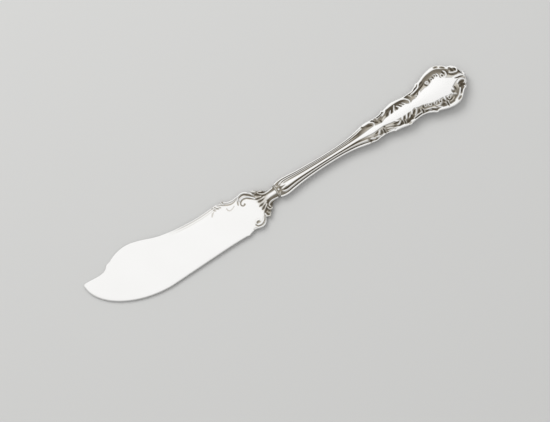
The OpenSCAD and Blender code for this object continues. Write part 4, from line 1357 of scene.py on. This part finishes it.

# %% [markdown]
# ## Floor
#
# The knife lies on a plain pale floor, which takes its shadow and fills its sides with light from
# below. It isn't part of the knife, and it lies a hair below the knife's lowest points so that no
# two faces coincide.

# %% Floor
floor_half = 1.5
floor_level = -0.00003
floor_corners = np.array([(-1, -1, 0), (1, -1, 0), (1, 1, 0), (-1, 1, 0)])
floor_points = floor_half * floor_corners + np.array([0, 0, floor_level])
floor_mesh = bpy.data.meshes.new("floor")
floor_mesh.from_pydata(floor_points.tolist(), [], [(0, 1, 2, 3)])
floor = bpy.data.objects.new("floor", floor_mesh)
bpy.context.scene.collection.objects.link(floor)
floor_finish, floor_tree, floor_shader = new_finish("pale floor")
pale_matte = {"Base Color": (0.6, 0.6, 0.59, 1), "Roughness": 0.9, "Specular IOR Level": 0.1}
feed(floor_tree, floor_shader, pale_matte)
floor_mesh.materials.append(floor_finish)
print("floor %.1f m square" % (2 * floor_half))

# %% [markdown]
# ## Camera
#
# The camera looks almost straight down on the knife, which lies aslant with its blade at the lower
# left. A long lens from well above keeps both ends at one scale. The camera's own axes are worked
# out first, as directions on the table, because the light is placed by the same directions.

# %% Camera
from mathutils import Matrix, Vector

picture_wide = 223.53
picture_turn = math.radians(32.0)
camera_lean = math.radians(3.0)
aim_right = -1.28
aim_up = -10.81
aim_rise = 3.0
right = np.array([math.cos(picture_turn), -math.sin(picture_turn), 0])
upward = np.array([math.sin(picture_turn), math.cos(picture_turn), 0])
skyward = np.array([0, 0, 1.0])
backward = math.cos(camera_lean) * skyward - math.sin(camera_lean) * upward
overhead = math.cos(camera_lean) * upward + math.sin(camera_lean) * skyward

camera_data = bpy.data.cameras.new("camera")
camera_data.lens = 110.0
camera_data.clip_start = 0.01
camera = bpy.data.objects.new("camera", camera_data)
bpy.context.scene.collection.objects.link(camera)
distance = picture_wide * MM * camera_data.lens / camera_data.sensor_width
aim = (aim_right * right + aim_up * upward + aim_rise * skyward) * MM
spot = aim + distance * backward
pose = np.eye(4)
pose[:3] = np.stack([right, overhead, backward, spot], axis=1)
camera.matrix_world = Matrix(pose.tolist())
bpy.context.scene.camera = camera
print("camera %.0f mm above the table" % (spot[2] / MM))

# %% [markdown]
# ## Light
#
# Polished metal shows what surrounds it. A wide soft sky overhead, leaning to the upper left, fills
# the flat faces. It fades towards the horizon, so sloping sides of the ornament turn grey. A soft
# lamp from the same side throws the shadow. It is hidden from the metal, where it would show as a
# hard white disk that a soft sky doesn't have.

# %% Light
sky_lean_up = 0.27
sky_lean_left = 0.16
# how squarely a direction faces the light, and how bright the sky is there
sky_levels = [(0.0, 0.55), (0.2, 0.46), (0.42, 0.4), (0.62, 0.6), (0.84, 0.93), (0.95, 0.98), (1.0, 1.06)]
lamp_size = 0.6
lamp_watts = 4.5
lamp_high = 0.75
lamp_up = 0.5
lamp_left = 0.35
lamp_at = lamp_high * skyward + lamp_up * upward - lamp_left * right

world = bpy.data.worlds.new("studio")
world.use_nodes = True
bpy.context.scene.world = world
tree = world.node_tree
toward_light = skyward + sky_lean_up * upward - sky_lean_left * right
toward_light = toward_light / np.linalg.norm(toward_light)
look = add_node(tree, "ShaderNodeTexCoord", {}).outputs["Generated"]
facing = add_node(tree, "ShaderNodeVectorMath", {0: look, 1: toward_light}, operation="DOT_PRODUCT")
fade = add_node(tree, "ShaderNodeValToRGB", {"Fac": facing.outputs["Value"]})
ramp = fade.color_ramp
while len(ramp.elements) < len(sky_levels):
    ramp.elements.new(0.5)
for element, (place, level) in zip(ramp.elements, sky_levels):
    element.position = place
    element.color = (level, level, level, 1)
feed(tree, tree.nodes["Background"], {"Color": fade.outputs["Color"]})

lamp_data = bpy.data.lights.new("soft lamp", "AREA")
lamp_data.shape = "DISK"
lamp_data.size = lamp_size
lamp_data.energy = lamp_watts
lamp = bpy.data.objects.new("soft lamp", lamp_data)
bpy.context.scene.collection.objects.link(lamp)
lamp.visible_glossy = False
lamp_turn = Vector(lamp_at).to_track_quat("Z", "Y").to_matrix().to_4x4()
lamp.matrix_world = Matrix.Translation(lamp_at) @ lamp_turn
bpy.context.scene.view_settings.view_transform = "Standard"
print("light from", [round(float(c), 2) for c in toward_light])
